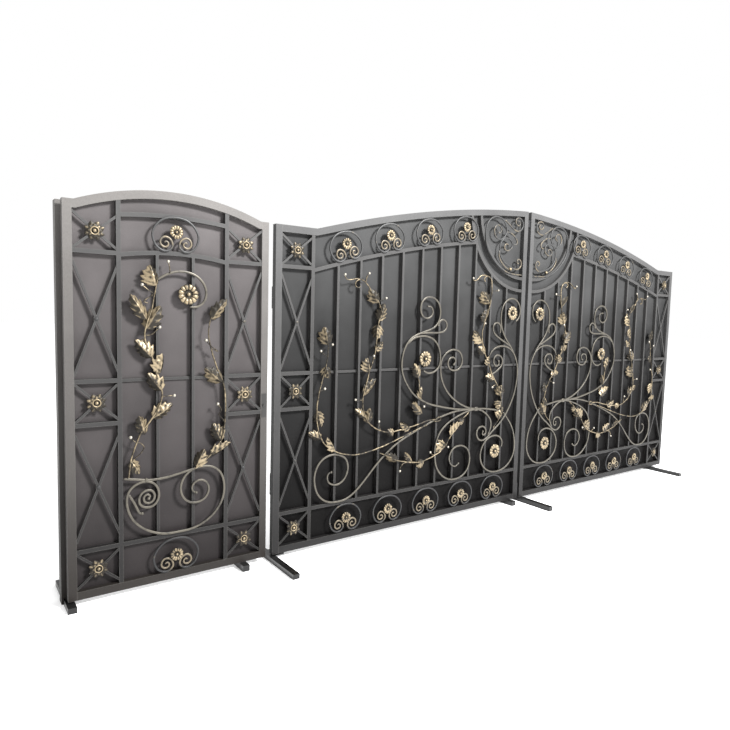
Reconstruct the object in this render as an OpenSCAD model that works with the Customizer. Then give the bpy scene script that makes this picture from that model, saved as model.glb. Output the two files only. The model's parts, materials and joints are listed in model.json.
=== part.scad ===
// Wrought-iron gate set: an arched side gate and an arched pair of driveway
// leaves, hung on three square posts that stand on tube feet.
// Frame: +X along the gate to the right, -Y towards the ornamented side, +Z up.
// The origin is on the underside of the left driveway post, at its middle.

/* [Gate] */
// Width of the whole driveway opening, both leaves and the gap between them
driveway_w = 4480; // [3400:20:5200]
// Width of the side gate leaf
wicket_w = 1080; // [900:10:1300]
// Height of every leaf at its hinge side
shoulder_h = 2000; // [1800:10:2400]
// Rise of the driveway arch from its shoulder to the meeting edge
arch_rise = 336; // [240:4:420]
// Rise of the side gate's arch
wicket_rise = 95; // [70:5:130]
// Gap between the side gate and the left driveway leaf
wicket_gap = 46; // [46:1:80]
// Gap between the two driveway leaves
centre_gap = 36; // [34:1:60]

/* [Frame] */
// Face width of the stiles and outer rails
frame_w = 42; // [40:1:60]
// Depth of the leaf frames
frame_d = 40; // [36:1:50]
// Face width of the inner rails and mullions
rail_w = 22; // [14:1:26]
// Face width of the plain vertical bars
bar_w = 15; // [10:1:20]
// Thickness of the backing sheet
sheet_t = 3; // [2:0.5:5]
// Centre height of the rail above the bottom band
band_z = 247; // [237:5:267]

/* [Ornament] */
// Face width of the main scroll bars
scroll_w = 13; // [8:1:16]
// Face width of the ring and volute bars
ring_w = 10; // [6:1:12]
// Face width of the vine stems
stem_w = 9; // [6:1:12]
// Radius of the eight-pointed rosettes
rosette_r = 50; // [40:1:60]
// Radius of the large flowers
flower_r = 55; // [40:1:60]

/* [Hinges] */
// Height of the lower hinges' middle
hinge_low = 430; // [300:10:700]
// Height of the upper hinges' middle
hinge_high = 1570; // [1300:10:1700]
// Radius of the hinge pins
pin_r = 7; // [6:0.5:8]
// Length of one hinge, both knuckles
hinge_len = 130; // [100:10:160]

/* [Stand] */
// Side of the square hanging posts
post_w = 60; // [50:5:60]
// Face height of the tube feet
foot_h = 30; // [25:1:50]
// Width of the tube feet
foot_w = 42; // [36:1:60]
// Length of a foot in front of the gate
foot_reach = 310; // [250:5:450]

/* [Hidden] */

// Leaf sizes and places along X
leaf_w = (driveway_w - centre_gap) / 2;
wicket_x = -wicket_gap - wicket_w;
foot_gap = 6;                  // clearance of the swinging leaves over the fixed feet
ground_z = -foot_h - foot_gap;
post_in = 50;                  // from the leaf's edge to the driveway posts
post_y = frame_d + 20;         // front face of the driveway posts
wicket_post_out = 20;          // the side gate's post stands this far outside its leaf
wicket_post_x = wicket_x - wicket_post_out;
wicket_post_y = post_y + 12;
mid_x = post_in + post_w / 2;
mid_y = post_y + post_w / 2;
foot_back = 330;
foot_toe = 60;
wicket_foot_in = 149;          // middle of the side gate's own foot, from its lock side
left_foot_in = 92;             // the same for the left leaf, from its meeting edge
right_foot_in = frame_w - 17;  // the same for the right leaf, under its frame's corner
tie_w = 40;
inner_foot_x = 179;            // middle of the feet set in from a leaf's right end
strip_w = 22;
strip_top = shoulder_h + arch_rise - 66;
block_h = 120;
strip_d = 10;                  // depth of the closing strip
strip_y = 14;
catch_h = 55;                  // catch plate at the top of the strip
catch_gap = 6;
berry_r = 11;
lock_z = 930;
lock_plate_t = 2;
lock_plate = [28, 140];
lock_boss = [9, 6];             // radius and height of the key boss
lap = 20;                      // how far a fixed knuckle's strap reaches under its post
hinge_split = 0.5;             // half the gap between the two knuckles
back_rail = [-10, 5, 12];      // lower edge, upper edge and depth of the bar behind the scrolls

// Depths, from the front face of the frames backwards
bar_front = 2;
sheet_front = frame_d - 8;
cross_front = 4;
cross_back = 14;
ring_front = -8;
ring_flower_front = -16;
scroll_front = -12;
stem_front = -20;
leaf_front = -26;
flower_front = -18;
stud_r = 8;                    // studs that hold the flowers to the sheet
cap_t = 5;                     // raised middle of a flower
ring_flower_r = 36;
cross_w = 12;                  // crossed bars of the side columns
band_half = 9;                 // half height of the band round a crossing
ball_r = 13;

// Hinge axis: set in from the leaf's edge and behind the leaf
axis_in = 14;
knuckle_r = pin_r + 4;
axis_y = frame_d + knuckle_r + 1;
running = 0.05;                // radial clearance of the pins
hinge_zs = [hinge_low, hinge_high];

// Side column of each leaf
grid_w = 1984;                 // ornament grid of a driveway leaf
grid_h = 2000;
wicket_grid_w = 1080;
mullion_x = 255;
rails_z = shoulder_h * [0.8785, 0.5565, 0.4465];
cross_z = [(rails_z[0] + rails_z[1]) / 2 - 10, (rails_z[2] + band_z) / 2];
cross_rise = [(rails_z[0] - rails_z[1]) / 2 - 37, (rails_z[2] - band_z) / 2 - 48];
square_in = 12;                // crossed bars stop this far inside a square's rails
bays = 11;
arch_steps = 24;
inner_x = mullion_x + rail_w / 2;
bay_w = (leaf_w - frame_w - inner_x) / bays;
arch_start = inner_x + 15;
arch_r = 8900 * leaf_w / 2222;
panel_drop = 250;              // driveway arch to the rail below it
corner_r = [580, 484];
corner_at = [leaf_w - frame_w, shoulder_h + 285];
peg_sides = 48;

// Centre of a circle of radius r through two points, below the chord
function below(a, b, r) =
    let (m = (a + b) / 2, d = b - a, h = norm(d) / 2)
    m + [d[1], -d[0]] / norm(d) * sqrt(r * r - h * h);
arch_c = below([arch_start, shoulder_h], [leaf_w, shoulder_h + arch_rise], arch_r);
wicket_shoulder = 50;
wicket_half = wicket_w / 2 - wicket_shoulder;
wicket_r = (wicket_half * wicket_half + wicket_rise * wicket_rise) / 2 / wicket_rise;
wicket_c = [wicket_w / 2, shoulder_h + wicket_rise - wicket_r];

// Curves: a smooth line through points, and an even band along it
function blend(a, b, c, d, t) =
    0.5 * (2 * b + (c - a) * t + (2 * a - 5 * b + 4 * c - d) * t * t
           + (3 * b - a - 3 * c + d) * t * t * t);
function smooth(p, n) =
    let (m = len(p) - 1)
    concat([for (i = [0 : m - 1]) for (k = [0 : n - 1])
                blend(p[max(i - 1, 0)], p[i], p[i + 1], p[min(i + 2, m)], k / n)],
           [p[m]]);
function side(p, i) =
    let (d = p[min(i + 1, len(p) - 1)] - p[max(i - 1, 0)])
    [-d[1], d[0]] / norm(d);
function fit(p, sx, sy) = [for (q = p) [q[0] * sx, q[1] * sy]];
leaf_fit = [leaf_w / grid_w, shoulder_h / grid_h];
wicket_fit = [wicket_w / wicket_grid_w, shoulder_h / grid_h];
function on_leaf(p) = fit(p, leaf_fit[0], leaf_fit[1]);
function on_wicket(p) = fit(p, wicket_fit[0], wicket_fit[1]);
// The corner ornament keeps its height over the leaf's shoulder
function on_corner(p) = [for (q = p) [q[0] * leaf_fit[0], shoulder_h + q[1] - grid_h]];

module band(p, w) {
    polygon(concat([for (i = [0 : len(p) - 1]) p[i] + side(p, i) * w / 2],
                   [for (i = [len(p) - 1 : -1 : 0]) p[i] - side(p, i) * w / 2]));
}
module stroke(p, w) { band(smooth(p, 2), w); }

// Turns a drawing of the gate's face upright, between two depths
module face(front, back) {
    rotate([90, 0, 0])
        translate([0, 0, -back])
            linear_extrude(back - front)
                children();
}
module disc(c, r) { translate(c) circle(r = r, $fn = 1200); }
module slab(x0, x1, z0, z1) { translate([x0, z0]) square([x1 - x0, z1 - z0]); }

// ---- Scroll lines of a driveway leaf, on its ornament grid ----
hub = [1523, 784];
leaf_scrolls = [
    // long bar from the hub into the big bottom scroll
    [hub, [1350, 782], [1200, 750], [1080, 705], [950, 650], [830, 588], [735, 515],
     [665, 445], [600, 372], [535, 308], [475, 270], [415, 260], [355, 267], [305, 296],
     [270, 345], [254, 410], [256, 470], [280, 528], [322, 564], [375, 577], [425, 566],
     [462, 538], [478, 492], [474, 445], [452, 402], [415, 376], [378, 378], [348, 398],
     [338, 428], [345, 455], [365, 462]],
    // bar from the hub round the left flower and up into the top scroll
    [hub, [1400, 790], [1300, 803], [1200, 825], [1100, 852], [1020, 892], [960, 935],
     [910, 1000], [875, 1070], [862, 1140], [870, 1220], [900, 1290], [945, 1335],
     [1000, 1360], [1060, 1380], [1115, 1402], [1150, 1440], [1166, 1490], [1163, 1545],
     [1140, 1590], [1095, 1616], [1045, 1612], [1010, 1580], [1000, 1535], [1012, 1492],
     [1045, 1468], [1085, 1478], [1104, 1512], [1090, 1548], [1060, 1552]],
    // small loop beside the top scroll
    [[1000, 1360], [1070, 1366], [1140, 1366], [1195, 1374], [1224, 1402], [1222, 1440],
     [1190, 1462], [1162, 1445], [1154, 1418]],
    // ring round the left flower
    [[906, 1290], [950, 1325], [1000, 1340], [1060, 1340], [1120, 1315], [1160, 1265],
     [1178, 1200], [1172, 1130], [1135, 1088], [1085, 1076], [1040, 1095]],
    // scroll that climbs from the hub
    [hub, [1440, 802], [1360, 840], [1285, 895], [1230, 960], [1195, 1035], [1184, 1110],
     [1195, 1175], [1235, 1222], [1290, 1243], [1345, 1228], [1372, 1185], [1372, 1135],
     [1345, 1098], [1300, 1088], [1262, 1105], [1247, 1145], [1262, 1178], [1298, 1185],
     [1318, 1158], [1300, 1132]],
    // scroll that hangs from the hub
    [hub, [1440, 770], [1350, 740], [1270, 700], [1210, 650], [1175, 590], [1160, 520],
     [1160, 450], [1178, 375], [1220, 315], [1275, 276], [1340, 262], [1405, 274],
     [1455, 315], [1478, 375], [1475, 435], [1450, 485], [1400, 513], [1345, 510],
     [1305, 480], [1288, 430], [1305, 382], [1345, 360], [1375, 378]],
    // links from the hub to the right-hand scrolls
    [hub, [1580, 766], [1630, 732], [1666, 692], [1678, 648], [1668, 605], [1650, 565]],
    [hub, [1600, 780], [1670, 769], [1735, 758], [1768, 750]],
    // small volute and the heart curve beside the meeting edge
    [[1600, 598], [1594, 578], [1614, 572], [1630, 592], [1622, 624], [1590, 642],
     [1552, 628], [1538, 590], [1556, 546], [1598, 530], [1642, 548], [1700, 598],
     [1765, 650], [1822, 715], [1872, 800], [1908, 890], [1928, 990], [1930, 1080],
     [1912, 1150], [1880, 1208], [1830, 1248], [1770, 1264], [1705, 1256], [1655, 1222],
     [1632, 1180]],
    // volute inside the heart curve
    [[1640, 1040], [1680, 1052], [1725, 1078], [1760, 1110], [1768, 1155], [1742, 1188],
     [1705, 1192], [1680, 1165], [1682, 1130], [1705, 1108], [1733, 1118], [1730, 1146]],
    // ring round the lower right flower
    [[1795, 455], [1798, 500], [1770, 540], [1715, 556], [1655, 540], [1608, 495],
     [1583, 430], [1592, 360], [1632, 303], [1695, 268], [1765, 262], [1840, 282],
     [1896, 332], [1927, 395], [1932, 465], [1918, 550], [1885, 625], [1830, 700],
     [1800, 735]],
    // ring round the upper right flower, and its tail
    [[1890, 1458], [1920, 1490], [1932, 1540], [1920, 1592], [1885, 1628], [1838, 1640],
     [1785, 1618], [1750, 1570], [1736, 1510], [1740, 1440], [1762, 1375], [1800, 1315],
     [1845, 1262], [1885, 1208]],
    // small loop beside that tail
    [[1845, 1262], [1790, 1292], [1730, 1325], [1682, 1358], [1660, 1395], [1668, 1432],
     [1700, 1448], [1730, 1430], [1738, 1395], [1732, 1365]],
];

leaf_stems = [
    // vine along the hinge side
    [[1080, 705], [1000, 682], [850, 630], [700, 584], [550, 558], [450, 572], [380, 600],
     [320, 645], [285, 700], [262, 780], [257, 860], [262, 940], [280, 1030], [305, 1120],
     [320, 1200], [325, 1290]],
    // middle vine with its top curl
    [[1150, 738], [1080, 735], [1000, 715], [930, 702], [850, 690], [780, 682], [720, 695],
     [660, 725], [610, 770], [580, 830], [568, 900], [575, 960], [595, 1040], [612, 1110],
     [640, 1190], [655, 1270], [660, 1360], [672, 1440], [690, 1500], [665, 1570],
     [620, 1620], [590, 1670], [555, 1702], [515, 1712], [480, 1705], [440, 1702],
     [425, 1730]],
    [[555, 1702], [525, 1708], [500, 1690], [500, 1665], [520, 1652], [536, 1668]],
    [[570, 1690], [575, 1725], [592, 1750]],
    // lower garland
    [[1450, 766], [1395, 725], [1355, 680], [1310, 630], [1270, 575], [1235, 525],
     [1180, 485], [1100, 455], [1030, 440], [960, 445], [900, 452], [872, 432], [862, 400]],
    [[1000, 440], [900, 460], [830, 480], [760, 520], [700, 548]],
    // right vine with its top curl
    [[1440, 1772], [1450, 1756], [1480, 1766], [1515, 1797], [1560, 1802], [1605, 1785],
     [1622, 1740], [1622, 1660], [1612, 1590], [1590, 1510], [1560, 1430], [1545, 1350],
     [1560, 1270], [1590, 1190], [1630, 1110], [1660, 1040], [1710, 970], [1745, 900],
     [1765, 820], [1765, 740], [1735, 670], [1690, 620]],
    [[1600, 1788], [1575, 1798], [1550, 1788], [1545, 1768], [1562, 1756]],
    // leafy stem between the left flower and the hub bar
    [[1020, 892], [1005, 950], [1000, 1010], [985, 1070]],
    // small loop that ties the two long bars from the hub
    [[1150, 738], [1170, 752], [1190, 748], [1190, 730], [1165, 722], [1140, 724]],
];

// Forged leaves: foot, tip and width
leaf_leaves = [
    [[322, 1285], [300, 1400], 85], [[310, 1150], [330, 1075], 65], [[262, 870], [290, 765], 65],
    [[290, 690], [205, 735], 60], [[385, 600], [325, 700], 60],
    [[590, 800], [515, 860], 50], [[605, 760], [625, 860], 65], [[572, 950], [660, 1060], 75],
    [[612, 1100], [600, 1200], 85], [[650, 1250], [705, 1305], 55], [[665, 1420], [655, 1320], 75],
    [[675, 1440], [712, 1560], 75], [[665, 1560], [600, 1650], 75],
    [[1035, 790], [940, 870], 75], [[1010, 895], [1030, 985], 50], [[990, 1045], [955, 1150], 65],
    [[940, 692], [850, 740], 60], [[800, 650], [760, 700], 55],
    [[850, 470], [750, 530], 60], [[965, 445], [890, 525], 50], [[1060, 445], [1000, 415], 60],
    [[1250, 545], [1165, 490], 95], [[1285, 600], [1370, 695], 90], [[1360, 690], [1410, 720], 50],
    [[1610, 1590], [1530, 1680], 85], [[1558, 1440], [1582, 1552], 85],
    [[1550, 1290], [1475, 1385], 85], [[1580, 1200], [1515, 1260], 65],
    [[1625, 1110], [1620, 1190], 75], [[1690, 1000], [1600, 1030], 65],
    [[1745, 870], [1765, 955], 75], [[1765, 830], [1730, 760], 70], [[1745, 680], [1795, 775], 85],
];
leaf_berries = [
    [275, 1248], [350, 1288], [305, 1010], [515, 925], [690, 765], [720, 1595], [640, 1210],
    [592, 1750], [425, 1732], [862, 398], [1110, 500], [1265, 520], [1045, 840], [1440, 1774],
    [1685, 1695], [1570, 1440], [1665, 945],
];
leaf_twigs = [
    [[275, 1248], [300, 1225], [320, 1215]], [[350, 1288], [335, 1270], [325, 1260]],
    [[305, 1010], [290, 1000], [272, 1000]], [[515, 925], [545, 920], [570, 920]],
    [[690, 765], [695, 735], [705, 702]], [[720, 1595], [700, 1585], [665, 1570]],
    [[640, 1210], [652, 1200], [642, 1190]], [[1110, 500], [1130, 480], [1160, 475]],
    [[1265, 520], [1255, 530], [1238, 530]], [[1045, 840], [1055, 850], [1060, 868]],
    [[1685, 1695], [1660, 1690], [1622, 1690]], [[1570, 1440], [1568, 1435], [1560, 1430]],
    [[1665, 945], [1690, 960], [1715, 965]],
];
// Big flowers of a leaf: how many bays along, clear of the bars, and how high
leaf_flowers = [[5.23, 1180], [9.574, 430], [10.379, 1525]];

// ---- Corner scroll above the quarter rail, on the leaf's ornament grid ----
corner_scrolls = [
    // big volute that sweeps down beside the quarter rail
    [[1682, 2146], [1684, 2134], [1698, 2142], [1707, 2160], [1698, 2182], [1675, 2194],
     [1651, 2185], [1637, 2160], [1637, 2133], [1651, 2106], [1680, 2088], [1711, 2090],
     [1738, 2108], [1756, 2137], [1761, 2166], [1752, 2198], [1738, 2222], [1716, 2241],
     [1688, 2252], [1653, 2254], [1612, 2240], [1585, 2216], [1567, 2186], [1558, 2150],
     [1556, 2106], [1561, 2061], [1572, 2025], [1590, 1989], [1617, 1955], [1648, 1921],
     [1689, 1886], [1734, 1860], [1779, 1843], [1824, 1834], [1873, 1830], [1934, 1830]],
    // volute under the arch
    [[1740, 2238], [1762, 2226], [1785, 2210], [1815, 2190], [1842, 2174], [1869, 2168],
     [1896, 2174], [1916, 2191], [1926, 2216], [1922, 2244], [1906, 2264], [1882, 2272],
     [1860, 2266], [1849, 2248], [1853, 2226], [1869, 2213], [1888, 2215], [1897, 2232],
     [1886, 2246], [1872, 2242]],
    // double volute in the middle, down to the meeting edge
    [[1779, 2034], [1788, 2047], [1770, 2060], [1750, 2052], [1743, 2030], [1756, 2011],
     [1783, 2009], [1810, 2025], [1824, 2052], [1815, 2083], [1792, 2099], [1765, 2104],
     [1734, 2095], [1711, 2070], [1700, 2043], [1698, 2007], [1705, 1971], [1725, 1939],
     [1752, 1915], [1788, 1894], [1824, 1879], [1860, 1871], [1888, 1873], [1912, 1890],
     [1922, 1916], [1914, 1942], [1896, 1952], [1880, 1943], [1877, 1926], [1889, 1916],
     [1899, 1926]],
    // hook between the two upper volutes
    [[1761, 2150], [1792, 2150], [1824, 2137], [1856, 2110], [1872, 2082], [1862, 2064],
     [1838, 2060]],
    // short branch that ends in a ball
    [[1698, 2007], [1690, 1975], [1700, 1940], [1725, 1908], [1760, 1880], [1800, 1862]],
];
corner_balls = [[1804, 1867]];

// Half of a roundel, from the top of its ring into one volute
ring_half = [
    [0, 89], [60, 78], [103, 42], [122, -6], [106, -60], [72, -86], [40, -85], [19, -64],
    [21, -40], [34, -22], [57, -14], [77, -26], [82, -50], [66, -67], [46, -64], [39, -48],
    [52, -37], [62, -46],
];
ring_room = [208, 205];        // clear height the roundels were drawn for, above and below
ring_fit = [(panel_drop - frame_w) / ring_room[0], (band_z - frame_w) / ring_room[1]];
roundel_up = 6;                // roundels sit this far above the middle of their band
top_flower_up = 14;            // the flower sits above the middle of a top roundel
wicket_flower_up = 12;
roundel_x = [for (k = [0 : 4]) inner_x + bay_w * (1.5 + 2 * k)];
roundel_top_x = [for (k = [0 : 3]) inner_x + bay_w * (1.28 + 2.01 * k)];

// ---- Side gate ornament, on its own grid ----
wicket_scroll_lines = [
    // small volute, the deep curve below it and the volute at the other end
    [[392, 474], [402, 486], [386, 499], [368, 488], [368, 464], [388, 449], [414, 458],
     [424, 488], [408, 516], [372, 518], [346, 492], [346, 452], [376, 428], [416, 432],
     [440, 460], [446, 500], [428, 545], [385, 568], [335, 562], [296, 532], [281, 485],
     [288, 425], [314, 368], [356, 322], [410, 288], [475, 266], [555, 262], [635, 268],
     [712, 300], [770, 352], [806, 420], [812, 495], [792, 560], [748, 600], [692, 612],
     [636, 604], [588, 572], [564, 520], [570, 465], [602, 425], [650, 411], [698, 428],
     [722, 472], [710, 518], [670, 537], [632, 518], [628, 482], [650, 466]],
    [[266, 598], [330, 586], [400, 574], [480, 576], [560, 590], [640, 606]],
    [[290, 512], [318, 462], [345, 402], [362, 400]],
    [[440, 1635], [495, 1668], [550, 1684], [605, 1682], [655, 1662], [692, 1622],
     [705, 1575], [692, 1528], [655, 1500], [610, 1498]],
];
wicket_stems = [
    [[290, 600], [296, 660], [308, 720], [330, 780], [350, 830], [385, 875], [425, 930],
     [455, 990], [462, 1045], [442, 1090], [432, 1140], [425, 1190], [402, 1250],
     [378, 1310], [375, 1360], [388, 1415], [410, 1480], [425, 1560], [440, 1635]],
    [[640, 606], [690, 640], [745, 690], [790, 750], [808, 830], [814, 930], [812, 1010],
     [800, 1080], [778, 1130], [756, 1185], [738, 1240], [722, 1300], [714, 1360],
     [720, 1410], [732, 1450]],
    [[505, 1672], [502, 1705], [495, 1730]], [[300, 815], [322, 790], [335, 785]],
    [[525, 1022], [470, 1020], [456, 1010]], [[450, 1388], [410, 1350], [376, 1345]],
    [[362, 1605], [395, 1560], [420, 1545]], [[768, 960], [790, 920], [813, 905]],
    [[700, 1318], [712, 1310], [722, 1300]],
];
wicket_leaves = [
    [[300, 690], [345, 615], 65], [[372, 822], [338, 925], 70], [[412, 905], [520, 975], 75],
    [[462, 1050], [385, 1145], 75], [[448, 1140], [462, 1250], 75], [[412, 1225], [325, 1320], 75],
    [[380, 1375], [455, 1500], 85], [[385, 1425], [300, 1555], 70], [[430, 1600], [405, 1710], 90],
    [[645, 612], [690, 712], 70], [[728, 668], [845, 735], 65], [[792, 745], [740, 850], 75],
    [[795, 1080], [695, 1165], 80], [[725, 1435], [818, 1550], 75],
];
wicket_berries = [
    [300, 815], [525, 1022], [450, 1388], [362, 1605], [495, 1732], [768, 960], [700, 1318],
];
wicket_flower = [605, 1565];
wicket_mullions = [mullion_x - 1, wicket_w - mullion_x + 1];
wicket_inner_bars =
    [for (k = [1, 2]) wicket_mullions[0] + (wicket_mullions[1] - wicket_mullions[0]) * k / 3];
wicket_roundels_at =
    [[wicket_w / 2, shoulder_h - 124], [wicket_w / 2, (frame_w + band_z) / 2 - 6]];

// ---- Placing the leaves ----
module at_left() { translate([-mid_x, -mid_y, -ground_z]) children(); }
module at_wicket() { at_left() translate([wicket_x, 0, 0]) children(); }
module at_right() { at_left() translate([driveway_w, 0, 0]) mirror([1, 0, 0]) children(); }

module iron() { color([0.30, 0.29, 0.30]) children(); }
module gold() { color([0.72, 0.64, 0.45]) children(); }
module foot_black() { color([0.06, 0.06, 0.06]) children(); }

// ---- Outlines of a driveway leaf ----
// Points along the arch, a distance inside it
function arch_z(x, drop) =
    arch_c[1] + sqrt(pow(arch_r - drop, 2) - pow(x - arch_c[0], 2));
function arch_line(drop, x0, x1, first = 0) =
    [for (k = [first : arch_steps])
        let (x = x0 + (x1 - x0) * k / arch_steps) [x, arch_z(x, drop)]];
function backwards(p) = [for (i = [len(p) - 1 : -1 : 0]) p[i]];
// Everything below the arch less a margin
module under_arch(margin) {
    polygon(concat([[leaf_w, 0], [0, 0], [0, shoulder_h - margin],
                    [arch_start, shoulder_h - margin]],
                   arch_line(margin, arch_start, leaf_w, 1)));
}
module hinge_stile() { face(0, frame_d) slab(0, frame_w, 0, shoulder_h); }
module meeting_stile() {
    face(0, frame_d)
        intersection() {
            under_arch(frame_w);
            slab(leaf_w - frame_w, leaf_w, 0, 2 * shoulder_h);
        }
}
module bottom_rail(w) { face(0, frame_d) slab(frame_w, w - frame_w, 0, frame_w); }
module arch_rail() {
    face(0, frame_d)
        difference() {
            intersection() {
                under_arch(0);
                slab(frame_w, leaf_w, shoulder_h / 2, 2 * shoulder_h);
            }
            under_arch(frame_w);
        }
}
// A bar that follows the arch below it, between two X places
module arc_rail(drop, w, x0, x1) {
    polygon(concat(arch_line(drop - w / 2, x0, x1),
                   backwards(arch_line(drop + w / 2, x0, x1))));
}
module quarter_rail(r, w) {
    intersection() {
        difference() {
            disc(corner_at, r + w / 2);
            disc(corner_at, r - w / 2);
        }
        under_arch(frame_w);
        slab(0, leaf_w - frame_w, 0, 2 * shoulder_h);
    }
}
// The main field, below the arc rail and outside the quarter rail
module main_field() {
    difference() {
        under_arch(panel_drop);
        disc(corner_at, corner_r[0]);
    }
}
// Crossed bars between two corners, and the band round their crossing
module cross(x0, x1, z, rise, w) {
    mid = [(x0 + x1) / 2, z];
    half = [(x1 - x0) / 2, rise];
    for (s = [-1, 1])
        band([mid - [half[0], s * half[1]], mid + [half[0], s * half[1]]], w);
}
module side_column(x0, x1) {
    intersection() {
        union() {
            for (k = [0 : 2])
                cross(x0, x1, square_z(k), square_rise(k), cross_w);
            for (k = [0, 1]) {
                cross(x0, x1, cross_z[k], cross_rise[k], cross_w);
                slab((x0 + x1) / 2 - cross_w, (x0 + x1) / 2 + cross_w,
                     cross_z[k] - band_half, cross_z[k] + band_half);
            }
        }
        slab(x0, x1, frame_w, shoulder_h - frame_w);
    }
}
module leaf_lattice() {
    face(bar_front, sheet_front) {
        intersection() {
            slab(mullion_x - rail_w / 2, inner_x, frame_w, 2 * shoulder_h);
            under_arch(frame_w);
        }
        slab(frame_w, leaf_w - frame_w, band_z - rail_w / 2, band_z + rail_w / 2);
        for (z = rails_z)
            slab(frame_w, mullion_x, z - rail_w / 2, z + rail_w / 2);
        difference() {
            arc_rail(panel_drop - rail_w / 2, rail_w, mullion_x, leaf_w - frame_w);
            disc(corner_at, corner_r[0]);
        }
        quarter_rail(corner_r[0], rail_w);
        quarter_rail(corner_r[1], rail_w);
        intersection() {
            for (k = [1 : bays - 1])
                slab(inner_x + bay_w * k - bar_w / 2, inner_x + bay_w * k + bar_w / 2,
                     band_z, 2 * shoulder_h);
            main_field();
        }
    }
    face(sheet_front - back_rail[2], sheet_front)
        slab(inner_x, leaf_w - frame_w, rails_z[1] + back_rail[0], rails_z[1] + back_rail[1]);
    face(cross_front, cross_back)
        side_column(frame_w, mullion_x);
}
module leaf_sheet() {
    face(sheet_front, sheet_front + sheet_t)
        intersection() {
            under_arch(frame_w);
            slab(frame_w, leaf_w - frame_w, frame_w, 2 * shoulder_h);
        }
}

// ---- Ornament ----
function with_mirror(p) = concat([for (i = [len(p) - 1 : -1 : 1]) [-p[i][0], p[i][1]]], p);
module roundel(at, tilt, k) {
    translate(at) rotate(tilt) stroke(fit(with_mirror(ring_half), k, k), ring_w);
}
function arch_tilt(x) = atan((arch_c[0] - x) / (arch_z(x, 0) - arch_c[1]));
function roundel_top(x) = [x, arch_z(x, (frame_w + panel_drop) / 2 - roundel_up)];
module leaf_roundels() {
    face(ring_front, bar_front) {
        for (x = roundel_x) roundel([x, (frame_w + band_z) / 2], 0, ring_fit[1]);
        for (x = roundel_top_x) roundel(roundel_top(x), arch_tilt(x), ring_fit[0]);
        intersection() {
            for (p = corner_scrolls) stroke(on_corner(p), ring_w);
            under_arch(frame_w);
        }
    }
}
module scroll_bars(lines) {
    face(scroll_front, bar_front)
        for (p = lines) stroke(p, scroll_w);
}
module collar(at, w, h) {
    face(scroll_front - 5, bar_front)
        translate(at - [w, h] / 2) square([w, h]);
}
module leaf_scroll_set() {
    scroll_bars([for (p = leaf_scrolls) on_leaf(p)]);
    collar(on_leaf([hub])[0], 52, 34);
}
// A forged leaf plate from its foot to its tip
module leaf_plate(foot, tip, w) {
    d = tip - foot;
    l = norm(d);
    half = [[0.06, 0.22], [0.28, 0.58], [0.42, 0.42], [0.6, 0.5], [0.82, 0.24]];
    translate(foot)
        rotate(atan2(d[1], d[0]))
            polygon(concat([[0, 0]], [for (q = half) [q[0] * l, q[1] * w]], [[l, 0]],
                           [for (k = [4 : -1 : 0]) [half[k][0] * l, -half[k][1] * w]]));
}
module ball(at, r, y) { translate([at[0], y, at[1]]) sphere(r = r, $fn = 24); }
module vine(stems, leaves, berries) {
    face(stem_front, scroll_front)
        for (p = stems) stroke(p, stem_w);
    face(leaf_front, stem_front + 1) {
        for (q = leaves) leaf_plate(q[0], q[1], q[2]);
        for (b = berries) translate(b) circle(r = berry_r, $fn = 24);
    }
}
function leaf_list(list, s) =
    [for (q = list) [[q[0][0] * s[0], q[0][1] * s[1]], [q[1][0] * s[0], q[1][1] * s[1]], q[2]]];
module leaf_vine() {
    vine([for (p = concat(leaf_stems, leaf_twigs)) on_leaf(p)], leaf_list(leaf_leaves, leaf_fit),
         on_leaf(leaf_berries));
}
// Eight-pointed star, drawn flat
module star(r, inner) {
    polygon([for (k = [0 : 15])
        let (q = k % 2 == 0 ? r : inner) q * [cos(k * 22.5), sin(k * 22.5)]]);
}
module rosette(at, r) {
    face(-4, cross_front) translate(at) star(r, r * 0.68);
    face(-8, -4) translate(at) rotate(22.5) star(r * 0.66, r * 0.46);
    ball(at, r * 0.2, -8);
}
module flower(at, r, front, back) {
    face(front, back) translate(at) circle(r = r, $fn = 24);
    face(front - cap_t, front) translate(at) circle(r = r * 0.55, $fn = 24);
    ball(at, r * 0.24, front - cap_t);
}
// Flowers held to the backing sheet by a stud
module studded_flower(at, r, front, back) {
    flower(at, r, front, back);
    face(back, sheet_front) translate(at) circle(r = stud_r, $fn = 24);
}
module big_flower(at) { studded_flower(at, flower_r, flower_front, bar_front); }
module ring_flower(at) { studded_flower(at, ring_flower_r, ring_flower_front, ring_front); }
// Middles of the three crossed squares in a side column
function square_low(k) = [rails_z[0], rails_z[2], frame_w][k];
function square_high(k) = [shoulder_h - frame_w, rails_z[1], band_z][k];
function square_z(k) = (square_low(k) + square_high(k)) / 2;
function square_rise(k) = (square_high(k) - square_low(k)) / 2 - square_in;
module leaf_rosettes() {
    for (k = [0 : 2])
        rosette([(frame_w + mullion_x - rail_w / 2) / 2, square_z(k)], rosette_r);
    for (x = roundel_x) ring_flower([x, (frame_w + band_z) / 2]);
    for (x = roundel_top_x) ring_flower(roundel_top(x) + [0, top_flower_up]);
    face(ring_flower_front, ring_front)
        for (b = on_corner(corner_balls)) translate(b) circle(r = ball_r, $fn = 24);
}

module leaf_flower_set() {
    for (c = leaf_flowers) big_flower([inner_x + bay_w * c[0], c[1] * leaf_fit[1]]);
}

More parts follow.
